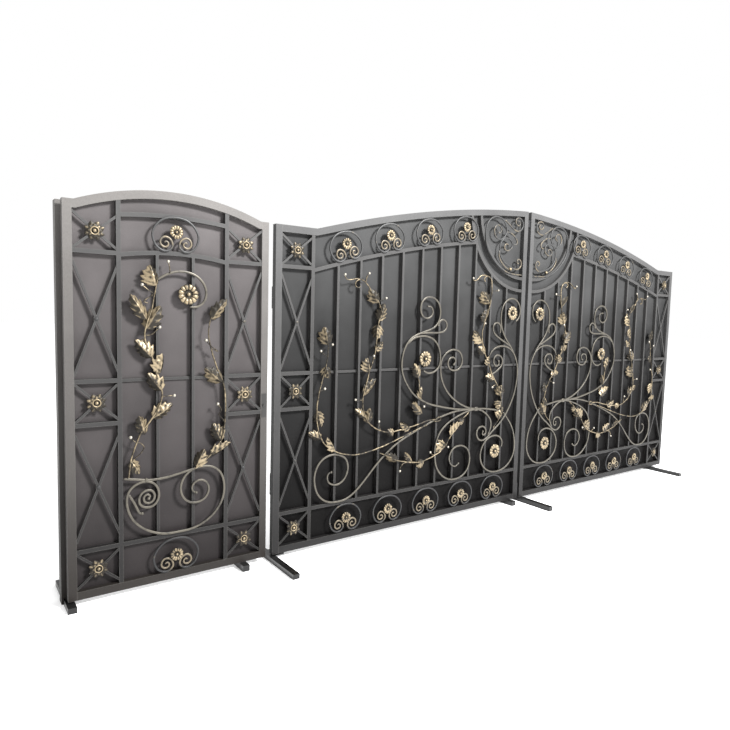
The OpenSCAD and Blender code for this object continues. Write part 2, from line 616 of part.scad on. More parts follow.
// ---- Hinges ----
// Knuckle pair half: fixed below with its pin, moving above with its bore
module fixed_knuckles(x1, y1) {
    for (z = hinge_zs) {
        translate([axis_in, axis_y, z - hinge_len / 2])
            cylinder(r = knuckle_r, h = hinge_len / 2 - hinge_split, $fn = peg_sides);
        translate([axis_in, axis_y, z - 1])
            cylinder(r = pin_r, h = hinge_len / 2 - 4, $fn = peg_sides);
        translate([axis_in, axis_y, z - hinge_len / 2])
            cube([x1 - axis_in, y1 - axis_y, hinge_len / 2 - hinge_split]);
    }
}
module moving_knuckles() {
    for (z = hinge_zs)
        difference() {
            union() {
                translate([axis_in, axis_y, z + hinge_split])
                    cylinder(r = knuckle_r, h = hinge_len / 2 - hinge_split, $fn = peg_sides);
                translate([axis_in, frame_d, z + hinge_split])
                    cube([knuckle_r, knuckle_r, hinge_len / 2 - hinge_split]);
            }
            translate([axis_in, axis_y, z - 1])
                cylinder(r = pin_r + running, h = hinge_len, $fn = peg_sides);
        }
}
module hang_post(x, y) {
    translate([x, y, ground_z]) cube([post_w, post_w, shoulder_h - ground_z]);
}
// Tube foot on the ground, from y0 back to y1, under a height
module tube_foot(x, y0, y1, top) {
    translate([x - foot_w / 2, y0, ground_z]) cube([foot_w, y1 - y0, top - ground_z]);
}
module tie(x0, x1) {
    translate([x0, mid_y - tie_w / 2, ground_z]) cube([x1 - x0, tie_w, foot_h]);
}

// ---- Outlines of the side gate ----
module under_wicket_arch(margin) {
    union() {
        intersection() {
            disc(wicket_c, wicket_r - margin);
            slab(wicket_shoulder, wicket_w - wicket_shoulder, 0, 2 * shoulder_h);
        }
        slab(0, wicket_w, 0, shoulder_h - margin);
    }
}
wicket_arcs = [[shoulder_h - 50, 18], [shoulder_h - 250, 27]];
module wicket_arc(end_z, rise, w) {
    half = wicket_w / 2 - wicket_mullions[0];
    r = (half * half + rise * rise) / 2 / rise;
    c = [wicket_w / 2, end_z + rise - r];
    intersection() {
        difference() {
            disc(c, r + w / 2);
            disc(c, r - w / 2);
        }
        slab(wicket_mullions[0], wicket_w - wicket_mullions[0], end_z - w, end_z + rise + w);
    }
}
module under_wicket_arc(end_z, rise) {
    half = wicket_w / 2 - wicket_mullions[0];
    r = (half * half + rise * rise) / 2 / rise;
    intersection() {
        disc([wicket_w / 2, end_z + rise - r], r);
        slab(0, wicket_w, 0, 2 * shoulder_h);
    }
}
module wicket_stile(x) {
    face(0, frame_d)
        intersection() {
            under_wicket_arch(0);
            slab(x, x + frame_w, 0, shoulder_h + 1);
        }
}
module wicket_side_column() { side_column(frame_w, wicket_mullions[0]); }
module wicket_lattice_bars() {
    face(bar_front, sheet_front) {
        for (x = wicket_mullions)
            intersection() {
                slab(x - rail_w / 2, x + rail_w / 2, frame_w, 2 * shoulder_h);
                under_wicket_arch(frame_w);
            }
        slab(frame_w, wicket_w - frame_w, band_z - rail_w / 2, band_z + rail_w / 2);
        for (z = rails_z) {
            slab(frame_w, wicket_mullions[0], z - rail_w / 2, z + rail_w / 2);
            slab(wicket_mullions[1], wicket_w - frame_w, z - rail_w / 2, z + rail_w / 2);
        }
        for (q = wicket_arcs) wicket_arc(q[0], q[1], rail_w);
        intersection() {
            for (x = wicket_inner_bars) slab(x - bar_w / 2, x + bar_w / 2, band_z, shoulder_h);
            under_wicket_arc(wicket_arcs[1][0], wicket_arcs[1][1]);
        }
    }
    face(sheet_front - back_rail[2], sheet_front)
        slab(wicket_mullions[0], wicket_mullions[1],
             rails_z[1] + back_rail[0], rails_z[1] + back_rail[1]);
    face(cross_front, cross_back) {
        wicket_side_column();
        translate([wicket_w, 0]) mirror([1, 0]) wicket_side_column();
    }
}

// ---- Fixed posts and feet ----
module wicket_post() { iron() at_left() hang_post(wicket_post_x, wicket_post_y); }
module left_post() { iron() at_left() hang_post(post_in, post_y); }
module right_post() { iron() at_right() hang_post(post_in, post_y); }
module post_feet() {
    foot_black() {
        at_left() {
            tube_foot(wicket_post_x + post_w / 2, -foot_toe, wicket_post_y, -foot_gap);
            tube_foot(wicket_post_x + post_w / 2, wicket_post_y + post_w, foot_back, -foot_gap);
            tube_foot(0, -foot_reach, foot_back, -foot_gap);
            tie(foot_w / 2, post_in);
        }
        at_right() {
            tube_foot(inner_foot_x, -foot_reach, foot_back, -foot_gap);
            tie(post_in + post_w, inner_foot_x - foot_w / 2);
        }
    }
}
module post_knuckles() {
    iron() {
        at_wicket() fixed_knuckles(post_w - wicket_post_out, wicket_post_y);
        at_left() fixed_knuckles(post_in + lap, post_y);
        at_right() fixed_knuckles(post_in + lap, post_y);
    }
}

// ---- Side gate ----
module wicket_hinge_stile() { iron() at_wicket() wicket_stile(0); }
module wicket_lock_stile() { iron() at_wicket() wicket_stile(wicket_w - frame_w); }
module wicket_bottom_rail() { iron() at_wicket() bottom_rail(wicket_w); }
module wicket_arch_rail() {
    iron()
        at_wicket()
            face(0, frame_d)
                difference() {
                    intersection() {
                        under_wicket_arch(0);
                        slab(frame_w, wicket_w - frame_w, shoulder_h / 2, 2 * shoulder_h);
                    }
                    under_wicket_arch(frame_w);
                }
}
module wicket_lattice() { iron() at_wicket() wicket_lattice_bars(); }
module wicket_sheet() {
    iron()
        at_wicket()
            face(sheet_front, sheet_front + sheet_t)
                intersection() {
                    under_wicket_arch(frame_w);
                    slab(frame_w, wicket_w - frame_w, frame_w, 2 * shoulder_h);
                }
}
module wicket_roundels() {
    iron()
        at_wicket()
            face(ring_front, bar_front)
                for (k = [0, 1]) roundel(wicket_roundels_at[k], 0, [1, ring_fit[1]][k]);
}
module wicket_scrolls() {
    iron()
        at_wicket() {
            scroll_bars([for (p = wicket_scroll_lines) on_wicket(p)]);
            collar(on_wicket([[380, 576]])[0], 24, 26);
        }
}
module wicket_vines() {
    gold()
        at_wicket()
            vine([for (p = wicket_stems) on_wicket(p)], leaf_list(wicket_leaves, wicket_fit),
                 on_wicket(wicket_berries));
}
module wicket_rosettes() {
    gold()
        at_wicket() {
            for (m = [0, 1])
                translate([m * wicket_w, 0, 0])
                    mirror([m, 0, 0])
                        for (k = [0 : 2])
                            rosette([(frame_w + wicket_mullions[0] - rail_w / 2) / 2,
                                     square_z(k)], rosette_r);
            ring_flower(wicket_roundels_at[0] + [0, wicket_flower_up]);
            ring_flower(wicket_roundels_at[1]);
            big_flower(on_wicket([wicket_flower])[0]);
        }
}
module wicket_lock() {
    color([0.55, 0.54, 0.52])
        at_wicket()
            for (y = [-lock_plate_t, frame_d])
                translate([wicket_w - frame_w / 2, y, lock_z]) {
                    translate([-lock_plate[0] / 2, 0, -lock_plate[1] / 2])
                        cube([lock_plate[0], lock_plate_t, lock_plate[1]]);
                    translate([0, y < 0 ? -lock_boss[1] : lock_plate_t, 0])
                        rotate([-90, 0, 0])
                            cylinder(r = lock_boss[0], h = lock_boss[1], $fn = peg_sides);
                }
}
module wicket_knuckles() { iron() at_wicket() moving_knuckles(); }
module wicket_foot() {
    foot_black() at_wicket() tube_foot(wicket_w - wicket_foot_in, -foot_toe, foot_back, 0);
}

// ---- Left driveway leaf ----
module left_hinge_stile() { iron() at_left() hinge_stile(); }
module left_meeting_stile() { iron() at_left() meeting_stile(); }
module left_bottom_rail() { iron() at_left() bottom_rail(leaf_w); }
module left_arch_rail() { iron() at_left() arch_rail(); }
module left_lattice() { iron() at_left() leaf_lattice(); }
module left_sheet() { iron() at_left() leaf_sheet(); }
module left_roundels() { iron() at_left() leaf_roundels(); }
module left_scrolls() { iron() at_left() leaf_scroll_set(); }
module left_vines() { gold() at_left() leaf_vine(); }
module left_rosettes() { gold() at_left() leaf_rosettes(); }
module left_flowers() { gold() at_left() leaf_flower_set(); }
module left_knuckles() { iron() at_left() moving_knuckles(); }
module left_foot() {
    foot_black() at_left() tube_foot(leaf_w - left_foot_in, -foot_toe, foot_back, 0);
}
module left_closing_strip() {
    foot_black()
        at_left()
            translate([leaf_w, 0, 0]) {
                translate([0, strip_y, block_h])
                    cube([strip_w, strip_d, strip_top - block_h]);
                translate([0, 8, 0]) cube([strip_w, 22, block_h]);
                translate([0, strip_y - strip_d, strip_top - catch_h])
                    cube([centre_gap - catch_gap, 28, catch_h]);
                translate([strip_w, 8, shoulder_h - 70]) cube([6, 22, 100]);
            }
}

// ---- Right driveway leaf, the left one mirrored ----
module right_hinge_stile() { iron() at_right() hinge_stile(); }
module right_meeting_stile() { iron() at_right() meeting_stile(); }
module right_bottom_rail() { iron() at_right() bottom_rail(leaf_w); }
module right_arch_rail() { iron() at_right() arch_rail(); }
module right_lattice() { iron() at_right() leaf_lattice(); }
module right_sheet() { iron() at_right() leaf_sheet(); }
module right_roundels() { iron() at_right() leaf_roundels(); }
module right_scrolls() { iron() at_right() leaf_scroll_set(); }
module right_vines() { gold() at_right() leaf_vine(); }
module right_rosettes() { gold() at_right() leaf_rosettes(); }
module right_flowers() { gold() at_right() leaf_flower_set(); }
module right_knuckles() { iron() at_right() moving_knuckles(); }
module right_foot() {
    foot_black() at_right() tube_foot(leaf_w - right_foot_in, -foot_reach, foot_back, 0);
}

wicket_post();
left_post();
right_post();
post_feet();
post_knuckles();
wicket_hinge_stile();
wicket_lock_stile();
wicket_bottom_rail();
wicket_arch_rail();
wicket_lattice();
wicket_sheet();
wicket_roundels();
wicket_scrolls();
wicket_vines();
wicket_rosettes();
wicket_lock();
wicket_knuckles();
wicket_foot();
left_hinge_stile();
left_meeting_stile();
left_bottom_rail();
left_arch_rail();
left_lattice();
left_sheet();
left_roundels();
left_scrolls();
left_vines();
left_rosettes();
left_flowers();
left_knuckles();
left_foot();
left_closing_strip();
right_hinge_stile();
right_meeting_stile();
right_bottom_rail();
right_arch_rail();
right_lattice();
right_sheet();
right_roundels();
right_scrolls();
right_vines();
right_rosettes();
right_flowers();
right_knuckles();
right_foot();
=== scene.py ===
"""Wrought-iron gate set: forged ornament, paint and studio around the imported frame.

An arched side gate and an arched pair of driveway leaves. The square-tube frames, bars and
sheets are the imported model's own nodes and get their paint here. The forged work on their
faces (scrolls, rings, vines, flowers, rosettes) is built below as numpy surfaces.

Gate lengths are in millimetres from a leaf's lower outer corner, x along the leaf, z up and
y from the frame's front face towards the back. Corner turns them into metres of the model.
"""
import json
import logging
import math
from dataclasses import dataclass, field
from enum import Enum
from typing import Any

import bpy
import numpy as np
from mathutils import Matrix, Vector

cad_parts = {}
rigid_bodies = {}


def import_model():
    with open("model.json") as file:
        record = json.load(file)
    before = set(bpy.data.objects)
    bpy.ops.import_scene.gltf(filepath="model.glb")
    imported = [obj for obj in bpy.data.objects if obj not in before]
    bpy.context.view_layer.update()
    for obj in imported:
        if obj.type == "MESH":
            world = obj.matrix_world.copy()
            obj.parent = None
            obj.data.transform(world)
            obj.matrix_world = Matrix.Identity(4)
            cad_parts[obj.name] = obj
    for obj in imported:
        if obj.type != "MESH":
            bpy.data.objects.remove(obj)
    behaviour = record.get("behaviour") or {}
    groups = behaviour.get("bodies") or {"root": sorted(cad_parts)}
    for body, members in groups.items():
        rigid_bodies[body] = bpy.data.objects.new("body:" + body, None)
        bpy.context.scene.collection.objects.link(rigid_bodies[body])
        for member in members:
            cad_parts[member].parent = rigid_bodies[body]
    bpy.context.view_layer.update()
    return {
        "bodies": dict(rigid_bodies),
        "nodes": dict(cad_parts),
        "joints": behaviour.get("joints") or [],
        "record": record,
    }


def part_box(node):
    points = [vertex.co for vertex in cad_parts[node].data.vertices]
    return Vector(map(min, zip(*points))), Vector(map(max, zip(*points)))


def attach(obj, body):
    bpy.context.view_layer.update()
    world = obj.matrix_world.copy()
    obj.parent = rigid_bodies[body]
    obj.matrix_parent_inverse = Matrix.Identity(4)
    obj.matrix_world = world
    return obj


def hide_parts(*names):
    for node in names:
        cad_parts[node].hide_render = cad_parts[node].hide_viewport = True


LOG = logging.getLogger("gate")
Line = list[list[float]]
MM = 0.001
TAU = 2.0 * math.pi


# ---------------------------------------------------------------- surfaces
@dataclass
class Surface:
    """A closed skin: points in gate millimetres, quads, triangles and a rub value a point.

    rub_and_light is 1 where a worker's gold or a cloth would touch the metal and 0 in the
    hollows; on leaves it also carries painted light, more on one half than on the other.
    """

    points: np.ndarray
    quads: np.ndarray
    tris: np.ndarray
    rub_and_light: np.ndarray

    def volume(self) -> float:
        """Signed volume: a sixth of the sum of the corner triple products."""
        q, p = self.quads, self.points
        tri = np.concatenate([self.tris, q[:, [0, 1, 2]], q[:, [0, 2, 3]]])
        a, b, c = p[tri[:, 0]], p[tri[:, 1]], p[tri[:, 2]]
        return float(np.einsum("ij,ij->i", a, np.cross(b, c)).sum() / 6.0)

    def outward(self) -> "Surface":
        """The same skin with its faces turned outwards."""
        if self.volume() < 0.0:
            return Surface(self.points, self.quads[:, ::-1], self.tris[:, ::-1], self.rub_and_light)
        return self


def joined(parts: list[Surface]) -> Surface:
    """Several skins as one, each turned outwards.

    Args:
        parts: the skins.

    Returns:
        One surface with the faces renumbered by each part's first point.
    """
    parts = [part.outward() for part in parts]
    starts = np.cumsum([0] + [len(part.points) for part in parts[:-1]])
    return Surface(
        np.concatenate([part.points for part in parts]),
        np.concatenate([part.quads + s for part, s in zip(parts, starts)]),
        np.concatenate([part.tris + s for part, s in zip(parts, starts)]),
        np.concatenate([part.rub_and_light for part in parts]),
    )


def shell(rings: np.ndarray, rub_and_light: np.ndarray) -> Surface:
    """Skin over a stack of closed rings, with a fan of triangles to a pole at both ends.

    The face between rings i and i+1 and spokes j and j+1 joins (i,j), (i,j+1), (i+1,j+1),
    (i+1,j); each pole is the middle of its end ring.

    Args:
        rings: points, shaped (rings, spokes, 3).
        rub_and_light: rub values, shaped (rings, spokes).

    Returns:
        The closed surface.
    """
    n, k = rings.shape[:2]
    i = np.arange(n - 1)[:, None] * k
    j = np.arange(k)[None, :]
    nxt = (j + 1) % k
    quads = np.stack([i + j, i + nxt, i + k + nxt, i + k + j], axis=-1).reshape(-1, 4)
    spokes = np.arange(k)
    follow = (spokes + 1) % k
    first = np.stack([np.full(k, n * k), follow, spokes], axis=-1)
    last_ring = (n - 1) * k
    last = np.stack([np.full(k, n * k + 1), last_ring + spokes, last_ring + follow], axis=-1)
    points = np.concatenate([rings.reshape(-1, 3), rings[:1].mean(1), rings[-1:].mean(1)])
    shades = np.concatenate([rub_and_light.reshape(-1), [rub_and_light[0].mean(), rub_and_light[-1].mean()]])
    return Surface(points, quads, np.concatenate([first, last]), shades)


def smooth_line(points: Line, steps: int = 6) -> np.ndarray:
    """Catmull-Rom curve through the points.

    Each span is 0.5 (2b + (c-a)t + (2a-5b+4c-d)t^2 + (3b-a-3c+d)t^3) over four neighbours.

    Args:
        points: two coordinates a point.
        steps: points made in each span.

    Returns:
        The curve, shaped (n, 2).
    """
    p = np.asarray(points, float)
    idx = np.arange(len(p) - 1)
    a, b = p[np.maximum(idx - 1, 0)], p[idx]
    c, d = p[idx + 1], p[np.minimum(idx + 2, len(p) - 1)]
    t = (np.arange(steps) / steps)[None, :, None]
    a, b, c, d = (q[:, None, :] for q in (a, b, c, d))
    curve = 0.5 * (2 * b + (c - a) * t + (2 * a - 5 * b + 4 * c - d) * t**2
                   + (3 * b - a - 3 * c + d) * t**3)
    return np.concatenate([curve.reshape(-1, 2), p[-1:]])


def even_line(curve: np.ndarray, step: float, calm: int = 2) -> np.ndarray:
    """A curve with even spacing, its small wobbles averaged away.

    Args:
        curve: points, shaped (n, dims).
        step: wanted spacing.
        calm: passes of the 1-2-1 average, which keeps both ends.

    Returns:
        The new points.
    """
    run = np.concatenate([[0.0], np.cumsum(np.linalg.norm(np.diff(curve, axis=0), axis=1))])
    count = max(int(run[-1] / step), 6)
    at = np.linspace(0.0, run[-1], count + 1)
    line = np.stack([np.interp(at, run, curve[:, c]) for c in range(curve.shape[1])], axis=-1)
    kernel = np.array([0.25, 0.5, 0.25])
    for _ in range(calm):
        inner = kernel[0] * line[:-2] + kernel[1] * line[1:-1] + kernel[2] * line[2:]
        line = np.concatenate([line[:1], inner, line[-1:]])
    return line


@dataclass(frozen=True)
class BarSection:
    """Cross-section of a forged bar: half sizes, corner squareness and how its ends thin."""

    half_width: float
    half_depth: float
    square: float = 0.55
    start_scale: float = 1.0
    end_scale: float = 1.0
    taper: float = 0.3
    spokes: int = 12


def forged_bar(path: np.ndarray, section: BarSection,
               gild: np.ndarray | float = 1.0) -> Surface:
    """Bar swept along a path on the gate's face.

    A point is path + s (side |cos a|^q w + out |sin a|^q d), each with its sign, where s
    swells or thins towards the ends and closes them in a quarter circle.

    Args:
        path: points (x, y, z) in gate millimetres.
        section: the bar's cross-section.
        gild: how much of the rub value its front carries, one number or one a path point.

    Returns:
        The closed bar.
    """
    n = len(path)
    along = np.gradient(path, axis=0)
    along /= np.linalg.norm(along, axis=1, keepdims=True)
    front = np.array([0.0, -1.0, 0.0])
    side = np.cross(front, along)
    side /= np.linalg.norm(side, axis=1, keepdims=True)
    out = np.cross(along, side)
    run = np.concatenate([[0.0], np.cumsum(np.linalg.norm(np.diff(path, axis=0), axis=1))])
    total = run[-1]
    reach = section.taper * total
    start = np.clip(1.0 - run / reach, 0.0, 1.0) ** 2
    end = np.clip(1.0 - (total - run) / reach, 0.0, 1.0) ** 2
    scale = 1.0 + start * (section.start_scale - 1.0) + end * (section.end_scale - 1.0)
    cap = section.half_width
    near = np.clip(np.minimum(run, total - run) / cap, 0.0, 1.0)
    scale = scale * np.maximum(np.sqrt(1.0 - (1.0 - near) ** 2), 0.25)
    a = np.arange(section.spokes) / section.spokes * TAU
    cos_a = np.sign(np.cos(a)) * np.abs(np.cos(a)) ** section.square * section.half_width
    sin_a = np.sign(np.sin(a)) * np.abs(np.sin(a)) ** section.square * section.half_depth
    rings = path[:, None, :] + scale[:, None, None] * (
        side[:, None, :] * cos_a[None, :, None] + out[:, None, :] * sin_a[None, :, None])
    rub_and_light = (np.full(n, 1.0) * gild)[:, None] * np.clip(np.sin(a) * 1.4, 0.0, 1.0)[None, :]
    return shell(rings, rub_and_light)


def round_knob(at: np.ndarray, radius: float, flat: float = 1.0, rings: int = 9) -> Surface:
    """Forged ball: latitude rings of radius r sin(b) at depth -r cos(b), b from 0 to pi.

    Args:
        at: middle (x, y, z).
        radius: ball radius.
        flat: depth as a part of the radius.
        rings: rings between the poles.

    Returns:
        The closed ball, its front rubbed bright.
    """
    b = (np.arange(rings) + 0.5)[:, None] / rings * math.pi
    a = (np.arange(14) / 14 * TAU)[None, :]
    grid = np.stack([np.sin(b) * np.cos(a), -flat * np.cos(b) * np.ones_like(a),
                     np.sin(b) * np.sin(a)], axis=-1)
    rub_and_light = np.clip(0.35 + 0.9 * np.cos(b) + 0.3 * np.sin(a) * np.sin(b), 0.0, 1.0)
    return shell(at + radius * grid, rub_and_light)


class PetalStyle(Enum):
    """The stamped flower shapes on the gate."""

    DAISY = "daisy"
    STAR = "star"


@dataclass(frozen=True)
class Petals:
    """Sizes of a stamped flower.

    notch is how far its outline falls back between petals, groove how deep the lines
    between them are and pale how bright its crests are rubbed.
    """

    radius: float
    count: int
    depth: float
    style: PetalStyle
    notch: float = 0.07
    groove: float = 0.65
    pale: float = 1.0


def stamped_flower(at: np.ndarray, petals: Petals, phase: float = 0.0) -> Surface:
    """Stamped flower facing the front.

    Its outline radius swings between the petal tips and the notches; each petal is a
    cushion, highest halfway out, that sinks to the grooves beside it, and the middle is a
    dish. A star's petals come to points and keep a sharp keel.

    Args:
        at: middle of its back (x, y, z).
        petals: its sizes.
        phase: turn about its own axis, in radians.

    Returns:
        The closed flower.
    """
    star = petals.style is PetalStyle.STAR
    a = np.arange(petals.count * 8) / (petals.count * 8) * TAU
    swing = (a * petals.count / TAU) % 1.0
    crest = 1.0 - np.abs(2.0 * swing - 1.0) if star else np.abs(np.sin(math.pi * swing)) ** 0.4
    outline = petals.radius * (1.0 - petals.notch * (1.0 - crest))
    back = np.array([0.15, 0.5, 0.85, 0.97])
    front = np.array([1.0, 0.97, 0.9, 0.8, 0.7, 0.6, 0.5, 0.42, 0.36, 0.3, 0.18, 0.08])
    reach = np.concatenate([back, front])[:, None]
    swell = np.sqrt(np.clip(1.0 - ((front - 0.7) / 0.34) ** 2, 0.0, 1.0))[:, None]
    groove = crest[None, :] ** (1.0 if star else 0.6)
    lift = 0.30 + 0.70 * swell * (1.0 - petals.groove * (1.0 - groove))
    dish = np.clip((0.42 - front) / 0.12, 0.0, 1.0)[:, None]
    lift = lift * (1.0 - dish) + 0.32 * dish
    height = np.concatenate([np.zeros((len(back), len(a))), lift]) * petals.depth
    keep = np.clip((reach - 0.3) / 0.4, 0.0, 1.0)
    radius = reach * (petals.radius * (1.0 - keep) + outline[None, :] * keep)
    turn = a[None, :] + phase
    rings = np.stack([radius * np.cos(turn), -height, radius * np.sin(turn)], axis=-1)
    bright = np.clip(swell * groove * petals.pale, 0.0, 1.0) * (1.0 - dish)
    rub_and_light = np.concatenate([np.zeros((len(back), len(a))), bright])
    return shell(rings + at, rub_and_light)


def wire_ring(at: np.ndarray, radius: float, thick: float, spokes: int = 28) -> Surface:
    """Round wire bent into a ring: circles of radius thick swept around a circle.

    Args:
        at: middle (x, y, z).
        radius: ring radius to the middle of the wire.
        thick: half thickness of the wire.
        spokes: sections around the ring.

    Returns:
        The closed ring, its front rubbed bright.
    """
    a = (np.arange(spokes) / spokes * TAU)[:, None]
    b = (np.arange(8) / 8 * TAU)[None, :]
    reach = radius + thick * np.cos(b)
    grid = np.stack([reach * np.cos(a), -thick * np.sin(b) * np.ones_like(a),
                     reach * np.sin(a)], axis=-1)
    i, j = np.arange(spokes)[:, None], np.arange(8)[None, :]
    i2, j2 = (i + 1) % spokes, (j + 1) % 8
    quads = np.stack([i * 8 + j, i * 8 + j2, i2 * 8 + j2, i2 * 8 + j], axis=-1).reshape(-1, 4)
    rub_and_light = np.broadcast_to(np.clip(1.2 * np.sin(b), 0.0, 1.0), grid.shape[:2])
    return Surface(at + grid.reshape(-1, 3), quads, np.zeros((0, 3), int), rub_and_light.reshape(-1))


@dataclass(frozen=True)
class LeafShape:
    """How a forged leaf is cut and bent.

    teeth is the number of lobes a side, cup how far its edges fall back, arch how far its
    middle stands forward, roll its turn about the midrib in degrees, skew how much wider one
    half is and by its sign which half gets the painted light, fold the slope of both halves
    from the midrib.
    """

    teeth: float = 2.5
    cut: float = 0.36
    cup: float = 7.0
    arch: float = 7.0
    roll: float = 0.0
    curl: float = 5.0
    thick: float = 2.0
    skew: float = 0.0
    fold: float = 0.45


def forged_leaf(foot: np.ndarray, tip: np.ndarray, width: float, shape: LeafShape) -> Surface:
    """A leaf beaten from sheet: a closed ring around it at each place along its midrib.

    With u from foot to tip and v from edge to edge, half width is sin(pi u^0.7)^0.75 cut
    back between the lobes, lobes sweep forward by their height, the height above the bars
    is arch sin(pi u) - cup v^2 + veins cos(teeth (u - |v|/4)), and the back is the front
    moved by the sheet's thickness.

    Args:
        foot: stalk end (x, y, z).
        tip: far end (x, y, z).
        width: full width.
        shape: its cut and bends.

    Returns:
        The closed leaf.
    """
    span = tip - foot
    length = float(np.linalg.norm(span))
    along = span / length
    front = np.array([0.0, -1.0, 0.0])
    across = np.cross(front, along)
    across /= np.linalg.norm(across)
    roll = math.radians(shape.roll)
    side = across * math.cos(roll) + front * math.sin(roll)
    out = front * math.cos(roll) - across * math.sin(roll)
    u = np.linspace(0.012, 0.988, 25)[:, None]
    v = np.linspace(-1.0, 1.0, 13)[None, :]
    tooth = (u * shape.teeth + 0.35) % 1.0
    lobe = np.minimum(tooth / 0.68, (1.0 - tooth) / 0.32)
    half = 0.5 * width * np.sin(math.pi * u**0.7) ** 0.75 * (1.0 - shape.cut * (1.0 - lobe))
    stalk = np.clip(1.0 - u / 0.08, 0.0, 1.0)
    half = np.maximum(half * (1.0 - stalk), 2.2)
    run = length * (u + 0.10 * lobe * v**2 * np.sin(math.pi * u))
    vein = np.cos(TAU * shape.teeth * (u - 0.24 * np.abs(v))) * np.minimum(np.abs(v) * 4, 1.0)
    keel = np.exp(-((v / 0.10) ** 2))
    body = np.sin(math.pi * u)
    height = (shape.arch * body - shape.cup * v**2 * body + 1.8 * vein * body
              - shape.fold * np.abs(v) * half
              + 1.6 * keel * (1.0 - 0.6 * u) - shape.curl * u**3)
    grid = (foot + along * run[..., None] + side * (v * half * (1 + shape.skew * v))[..., None]
            + out * height[..., None])
    rear = grid - out * shape.thick
    rings = np.concatenate([grid, rear[:, ::-1]], axis=1)
    # Painted light: lit raises the gold on one half of each leaf and lowers it on the other, as
    # if light fell from one side; the sign of skew picks the half.
    lit = np.sign(shape.skew) * np.tanh(3.0 * v)
    bright = np.clip(0.20 + 0.30 * vein + 0.40 * keel + 0.36 * np.abs(v) ** 3
                     + 0.14 * body + 0.34 * lit, 0.0, 1.0)
    dull = np.full_like(bright, 0.05)
    return shell(rings, np.concatenate([bright, dull], axis=1))


# ---------------------------------------------------------------- finishes
@dataclass(frozen=True)
class Finish:
    """A painted or rubbed metal, built from noise at three scales and a rub attribute.

    Colours are linear; low and high are the colour near the ground and at the top of the
    gate, painted light from above: a painted sheen high up and painted shade low down. Gold
    is laid where the rub_and_light attribute and the brush noise allow it, shine is how
    metallic it is there, fall how fast the painted shade darkens the colour below the top.
    """

    name: str
    low: tuple[float, float, float]
    high: tuple[float, float, float]
    rough: float
    metal: float = 0.0
    grain: float = 0.12
    bump: float = 0.15
    gold: tuple[float, float, float] | None = None
    gold_reach: float = 0.5
    shine: float = 0.85
    edge: float = 0.0
    specular: float = 0.5
    fall: float = 1.0

    def build(self) -> bpy.types.Material:
        """The finish as a node material."""
        mat = bpy.data.materials.new(self.name)
        mat.use_nodes = True
        web = Web(mat.node_tree)
        shader = web.tree.nodes["Principled BSDF"]
        place = web.add("ShaderNodeTexCoord").outputs["Object"]
        split = web.add("ShaderNodeSeparateXYZ")
        web.join(place, split.inputs[0])
        # Painted light: the colour runs from low near the ground to high at the top, a painted
        # sheen up high and painted shade lower down.
        painted_light_rise = web.maths("POWER", web.span(split.outputs["Z"], 0.15, 2.15), self.fall)
        colour = web.mix(painted_light_rise, self.low, self.high)
        cloud = web.noise(place, 3.1, 4.0)
        colour = web.tone(colour, cloud, 1.0 - self.grain, 1.0 + self.grain)
        speck = web.noise(place, 260.0, 2.0)
        colour = web.tone(colour, speck, 0.88, 1.12)
        hammer = web.noise(place, 95.0, 3.0)
        rough = web.span(hammer, 0.2, 0.8, self.rough - 0.08, self.rough + 0.10)
        if self.edge > 0.0:
            colour = web.edge_wear(colour, self.edge, hammer)
        if self.gold is not None:
            mask = web.gold_and_light_mask(place, self.gold_reach)
            colour = web.mix(mask, colour, self.gold)
            web.join(web.span(mask, 0.0, 1.0, self.metal, self.shine), shader.inputs["Metallic"])
            rough = web.mix_value(mask, rough, 0.40)
        else:
            shader.inputs["Metallic"].default_value = self.metal
        shader.inputs["Specular IOR Level"].default_value = self.specular
        web.join(colour, shader.inputs["Base Color"])
        web.join(rough, shader.inputs["Roughness"])
        web.join(web.bump(hammer, self.bump), shader.inputs["Normal"])
        return mat


